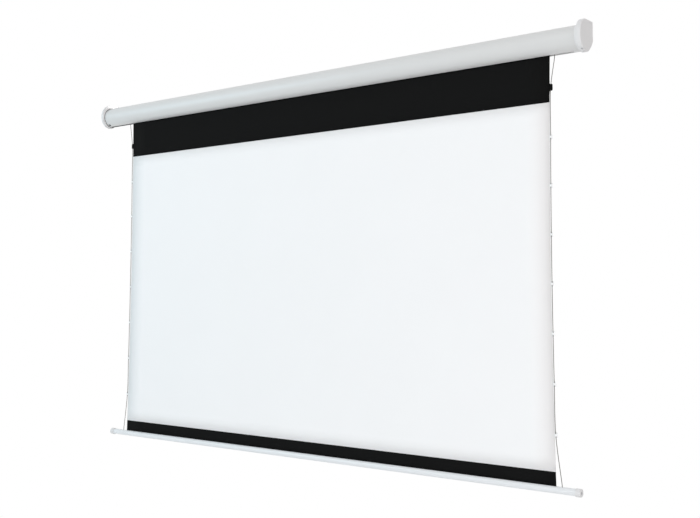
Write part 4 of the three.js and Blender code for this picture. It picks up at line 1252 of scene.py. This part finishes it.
def rod_profile(start, end, radius):
    """A round rod with chamfered ends, as pairs of X and radius."""
    ease = SCREW_CHAMFER
    return [
        (start, 0), (start, radius - ease), (start + ease, radius),
        (end - ease, radius), (end, radius - ease), (end, 0),
    ]


def make_bar_cap(side):
    """A plug in the tube's end and a rounded head with a screw seat."""
    name = f"bar_cap_{WORDS[side]}"
    length = BAR_CAP_LENGTH
    edge = BAR_CAP_RADIUS - BAR_CAP_BEVEL
    flat_end = rounded((length, edge), (length - BAR_CAP_BEVEL, BAR_CAP_RADIUS))
    profile = [
        (-BAR_PLUG_LENGTH, BAR_PLUG_RADIUS - BAR_PLUG_WALL),
        (-BAR_PLUG_LENGTH, BAR_PLUG_RADIUS - SCREW_CHAMFER),
        (-BAR_PLUG_LENGTH + SCREW_CHAMFER, BAR_PLUG_RADIUS),
        (0, BAR_PLUG_RADIUS),
        *rounded((0, BAR_CAP_RADIUS - BAR_CAP_ROUND), (BAR_CAP_ROUND, BAR_CAP_RADIUS)),
        *reversed(flat_end),
        *rounded((length, SEAT_RADIUS + SEAT_ROUND), (length - SEAT_ROUND, SEAT_RADIUS)),
        (length - SEAT_DEPTH, SEAT_RADIUS),
        (length - SEAT_DEPTH, BORE_RADIUS),
        (0, BORE_RADIUS),
        (0, BAR_PLUG_RADIUS - BAR_PLUG_WALL),
        (-BAR_PLUG_LENGTH, BAR_PLUG_RADIUS - BAR_PLUG_WALL),
    ]
    start = bar_high.x if side > 0 else bar_low.x
    bm = bmesh.new()
    turned(bm, [(start + side * x, radius) for x, radius in profile], (FABRIC_Y, BAR_Z))
    finished(bm, "cap_white", "bar", name)


def make_hem_rod():
    low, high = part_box("hem_rod")
    profile = rod_profile(low.x, high.x, (high.z - low.z) / 2)
    bm = bmesh.new()
    turned(bm, profile, middle_of("hem_rod")[1:], SMALL_TURN_STEPS)
    finished(bm, "steel", "bar", "hem_rod")


# Screws: turned along X, swung to their own way, with a recess cut in the head

def make_screw(name, body, slot, place, way, profile, recess):
    bm = bmesh.new()
    turned(bm, profile, (0, 0), SMALL_TURN_STEPS)
    bmesh.ops.recalc_face_normals(bm, faces=bm.faces)
    swing = Vector(way).to_track_quat("X", "Z").to_matrix()
    bmesh.ops.rotate(bm, cent=(0, 0, 0), matrix=swing, verts=bm.verts)
    bmesh.ops.translate(bm, vec=place, verts=bm.verts)
    screw = as_object(bm, f"{name}_dressed")
    cut(screw, recess)
    tidy_mesh(screw)
    dress(screw, slot, body, name)


def make_cap_screw(name):
    low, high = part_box(name)
    place = Vector((*middle_of(name)[:2], low.z))
    length = high.z - low.z
    flat = SCREW_RADIUS * FLAT_SHARE
    profile = [
        (0, 0),
        *rounded((0, flat), (SCREW_HEIGHT / 2, SCREW_RADIUS)),
        (SCREW_HEIGHT, SCREW_RADIUS),
        (SCREW_HEIGHT, SHANK_RADIUS),
        (length - SCREW_CHAMFER, SHANK_RADIUS),
        (length, SHANK_RADIUS - SCREW_CHAMFER),
        (length, 0),
    ]
    deep = SCREW_HEIGHT / 2
    recess = [
        block_cutter(place - Vector((x, y, deep)), place + Vector((x, y, deep)))
        for x, y in ((CROSS_ARM, CROSS_HALF), (CROSS_HALF, CROSS_ARM))]
    make_screw(name, "casing", "steel", place, (0, 0, 1), profile, recess)


def make_limit_screw(name, body, turn):
    way = Vector((0, cos(radians(turn)), sin(radians(turn))))
    axis = Vector((LIMIT_X, ROLLER_Y, 0))
    place = axis + way * (ROLLER_RADIUS + LIMIT_HEAD_PROUD - LIMIT_SINK)
    profile = rod_profile(0, LIMIT_LENGTH, LIMIT_RADIUS)
    start = place + way * (LIMIT_LENGTH - LIMIT_HEX_DEPTH)
    recess = [cylinder_cutter(start, way, LIMIT_RADIUS * HEX_SHARE, LIMIT_LENGTH, HEX_SIDES)]
    make_screw(name, body, "brass", place, way, profile, recess)


def make_tension_screw(side):
    word = WORDS[side]
    name = f"tension_screw_{word}"
    low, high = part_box(name)
    length = high.x - low.x
    neck = length - TENSION_HEAD_LENGTH
    profile = [
        (0, 0), (0, TENSION_RADIUS - SCREW_CHAMFER), (SCREW_CHAMFER, TENSION_RADIUS),
        (neck, TENSION_RADIUS), (neck, TENSION_HEAD_RADIUS),
        *reversed(rounded(
            (length, TENSION_HEAD_RADIUS - SCREW_CHAMFER), (length - SCREW_CHAMFER, TENSION_HEAD_RADIUS))),
        (length, 0),
    ]
    place = Vector((low.x if side > 0 else high.x, FABRIC_Y, BAR_Z))
    way = Vector((side, 0, 0))
    start = place + way * (length - TENSION_HEAD_LENGTH / 2)
    recess = [cylinder_cutter(
        start, way, TENSION_HEAD_RADIUS * HEX_SHARE, TENSION_HEAD_LENGTH, HEX_SIDES)]
    make_screw(name, f"tension_{word}", "steel", place, way, profile, recess)


# Mains inlet in the left cap, and the leads beside it

def inlet_shape(start, end, half_width, half_height, corner, ease=0):
    """A rounded rectangle drawn out along X about the inlet's middle, with its outer edges eased."""
    bm = bmesh.new()
    rounded_outline(bm, start, INLET_MIDDLE, half_width, half_height, corner)
    filled_and_extruded(bm, (end - start, 0, 0))
    if ease:
        outer = [e for e in bm.edges if max(v.co.x for v in e.verts) < start + ease / 2]
        bevel(bm, outer, ease, ROUND_STEPS)
    bmesh.ops.recalc_face_normals(bm, faces=bm.faces)
    return as_object(bm, "shape")


def make_inlet():
    low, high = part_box("power_inlet")
    seat = low.x + INLET_FLANGE
    shells = [
        (low.x, seat, INLET_HALF_WIDTH + INLET_EDGE, INLET_HALF_HEIGHT + INLET_EDGE, FLANGE_ROUND),
        (seat - FLANGE_ROUND, high.x, INLET_HALF_WIDTH, INLET_HALF_HEIGHT, 0),
    ]
    whole = bmesh.new()
    for start, end, half_width, half_height, ease in shells:
        shell = inlet_shape(start, end, half_width, half_height, INLET_CORNER, ease)
        cut(shell, [inlet_shape(
            low.x - INLET_FLANGE, low.x + SOCKET_DEPTH + INLET_FLANGE,
            SOCKET_HALF_WIDTH, SOCKET_HALF_HEIGHT, SOCKET_CORNER)])
        add_mesh(whole, shell.data)
        bpy.data.objects.remove(shell)
    finished(whole, "dark_plastic", "casing", "power_inlet")
    bm = bmesh.new()
    y, z = INLET_MIDDLE
    tip = low.x + 2 * INLET_FLANGE
    root = low.x + INLET_FLANGE + SOCKET_DEPTH
    for side in (-1, 1):
        turned(bm, [
            (tip, 0), *rounded((tip, 0), (tip + PIN_RADIUS, PIN_RADIUS))[1:],
            (root, PIN_RADIUS), (root, 0),
        ], (y + side * PIN_PITCH / 2, z), SMALL_TURN_STEPS)
    finished(bm, "steel", "casing", "power_inlet", "inlet_pins")


def make_lead(name, route):
    points = [Vector((CASING_LEFT + x * MM, y * MM, z * MM)) for x, y, z in route]
    places = places_through(points, LEAD_STEPS)
    bm = bmesh.new()
    tube(bm, places, LEAD_RADIUS, 2 * TUBE_SIDES)
    return finished(bm, "dark_plastic", "casing", name), places


# Stage, light and camera

def make_camera():
    data = bpy.data.cameras.new("camera")
    data.lens = CAMERA_LENS
    data.shift_x = CAMERA_SHIFT_X
    data.shift_y = CAMERA_SHIFT_Y
    camera = bpy.data.objects.new("camera", data)
    camera.location = CAMERA_PLACE
    camera.rotation_euler = (pi / 2 + CAMERA_RISE, 0, CAMERA_TURN)
    scene.collection.objects.link(camera)
    scene.camera = camera


def seen_directly(tree):
    """1 for what the camera sees, directly or by a reflection or through glass."""
    path = node(tree, "LightPath")
    seen = math(tree, "ADD", path.outputs["Is Camera Ray"], path.outputs["Is Glossy Ray"])
    return math(tree, "MINIMUM", math(tree, "ADD", seen, path.outputs["Is Transmission Ray"]), 1.0)


def make_surround():
    world = bpy.data.worlds.new("surround")
    scene.world = world
    world.use_nodes = True
    tree = world.node_tree
    light = tree.nodes["Background"]
    light.inputs["Color"].default_value = (1, 1, 1, 1)
    strength = node(tree, "MapRange", {
        "Value": seen_directly(tree), "To Min": SURROUND_STRENGTH, "To Max": 1.0})
    tree.links.new(strength.outputs["Result"], light.inputs["Strength"])


def make_floor():
    """A pale floor that turns plain white away from the object."""
    bm = bmesh.new()
    bmesh.ops.create_grid(bm, x_segments=2, y_segments=2, size=FLOOR_HALF)
    bmesh.ops.translate(bm, vec=(0, 0, FLOOR_Z), verts=bm.verts)
    floor = as_object(bm, "floor")
    made, tree, surface = new_material("pale_floor")
    surface.inputs["Base Color"].default_value = colour(250, 250, 250)
    surface.inputs["Roughness"].default_value = 0.9
    surface.inputs["Specular IOR Level"].default_value = 0.1
    glow = node(tree, "Emission", {"Color": (1, 1, 1, 1), "Strength": 1.0})
    away = node(tree, "VectorMath", {
        0: node(tree, "TexCoord").outputs["Object"], 1: (1, 1, 0)}, operation="MULTIPLY")
    distance = node(tree, "VectorMath", {0: away.outputs["Vector"]}, operation="LENGTH")
    fade = node(tree, "MapRange", {
        "Value": distance.outputs["Value"], "From Min": FADE_START, "From Max": FADE_END},
        interpolation_type="SMOOTHSTEP")
    share = math(tree, "MULTIPLY", fade.outputs["Result"], seen_directly(tree))
    mixed = node(tree, "MixShader", {0: share, 1: surface.outputs["BSDF"], 2: glow.outputs["Emission"]})
    output = tree.nodes["Material Output"]
    tree.links.new(mixed.outputs["Shader"], output.inputs["Surface"])
    floor.data.materials.append(made)


def set_up_lamp(name, data, place, aim):
    obj = bpy.data.objects.new(name, data)
    obj.location = place
    obj.rotation_euler = (Vector(aim) - Vector(place)).to_track_quat("-Z", "Y").to_euler()
    scene.collection.objects.link(obj)


def soft_lamp(name, place, aim, size, power, tint):
    data = bpy.data.lights.new(name, "AREA")
    data.shape = "DISK"
    data.size = size
    data.energy = power
    data.color = tint
    set_up_lamp(name, data, place, aim)


def ear_lamp():
    """A narrow light on the left cap's ear."""
    data = bpy.data.lights.new("ear", "SPOT")
    data.spot_size = EAR_LAMP_CONE
    data.spot_blend = EAR_LAMP_BLEND
    data.energy = EAR_LAMP_WATTS
    data.shadow_soft_size = EAR_LAMP_RADIUS
    set_up_lamp("ear", data, EAR_LAMP_PLACE, EAR_LAMP_AIM)


make_camera()
make_surround()
make_floor()
for name, settings in LAMPS.items():
    soft_lamp(name, *settings)
ear_lamp()

make_casing()
make_cap(1)
make_cap(-1)
make_panel("black_top_drop", "screen_black", WHITE_TOP, FABRIC_TOP, BLACK_ROWS)
make_panel("white_surface", "screen_white", WHITE_BOTTOM, WHITE_TOP, WHITE_ROWS)
make_panel("black_bottom_border", "screen_black", FABRIC_BOTTOM, WHITE_BOTTOM, BORDER_ROWS)
make_fabric_roll()
for side, word in WORDS.items():
    make_strip(f"edge_strip_{word}", "tab_strip", side, WHITE_BOTTOM, WHITE_TOP, tab_levels(), WHITE_TAB)
    make_strip(
        f"black_tab_{word}", "screen_black", side,
        black_tab_low.z, black_tab_high.z, [BLACK_TAB_Z], BLACK_TAB)
    make_cord(side)
    make_bar_cap(side)
    make_tension_screw(side)
    for where in ("front", "rear"):
        make_cap_screw(f"cap_screw_{word}_{where}")
make_bar()
make_hem_rod()
make_limit_screw("limit_screw_up", "limit_up", ACCESS_TURNS[0])
make_limit_screw("limit_screw_down", "limit_down", ACCESS_TURNS[1])
make_inlet()
motor_lead, motor_places = make_lead("motor_lead", MOTOR_ROUTE)
make_lead("supply_lead", SUPPLY_ROUTE)

scene.view_settings.view_transform = "Standard"
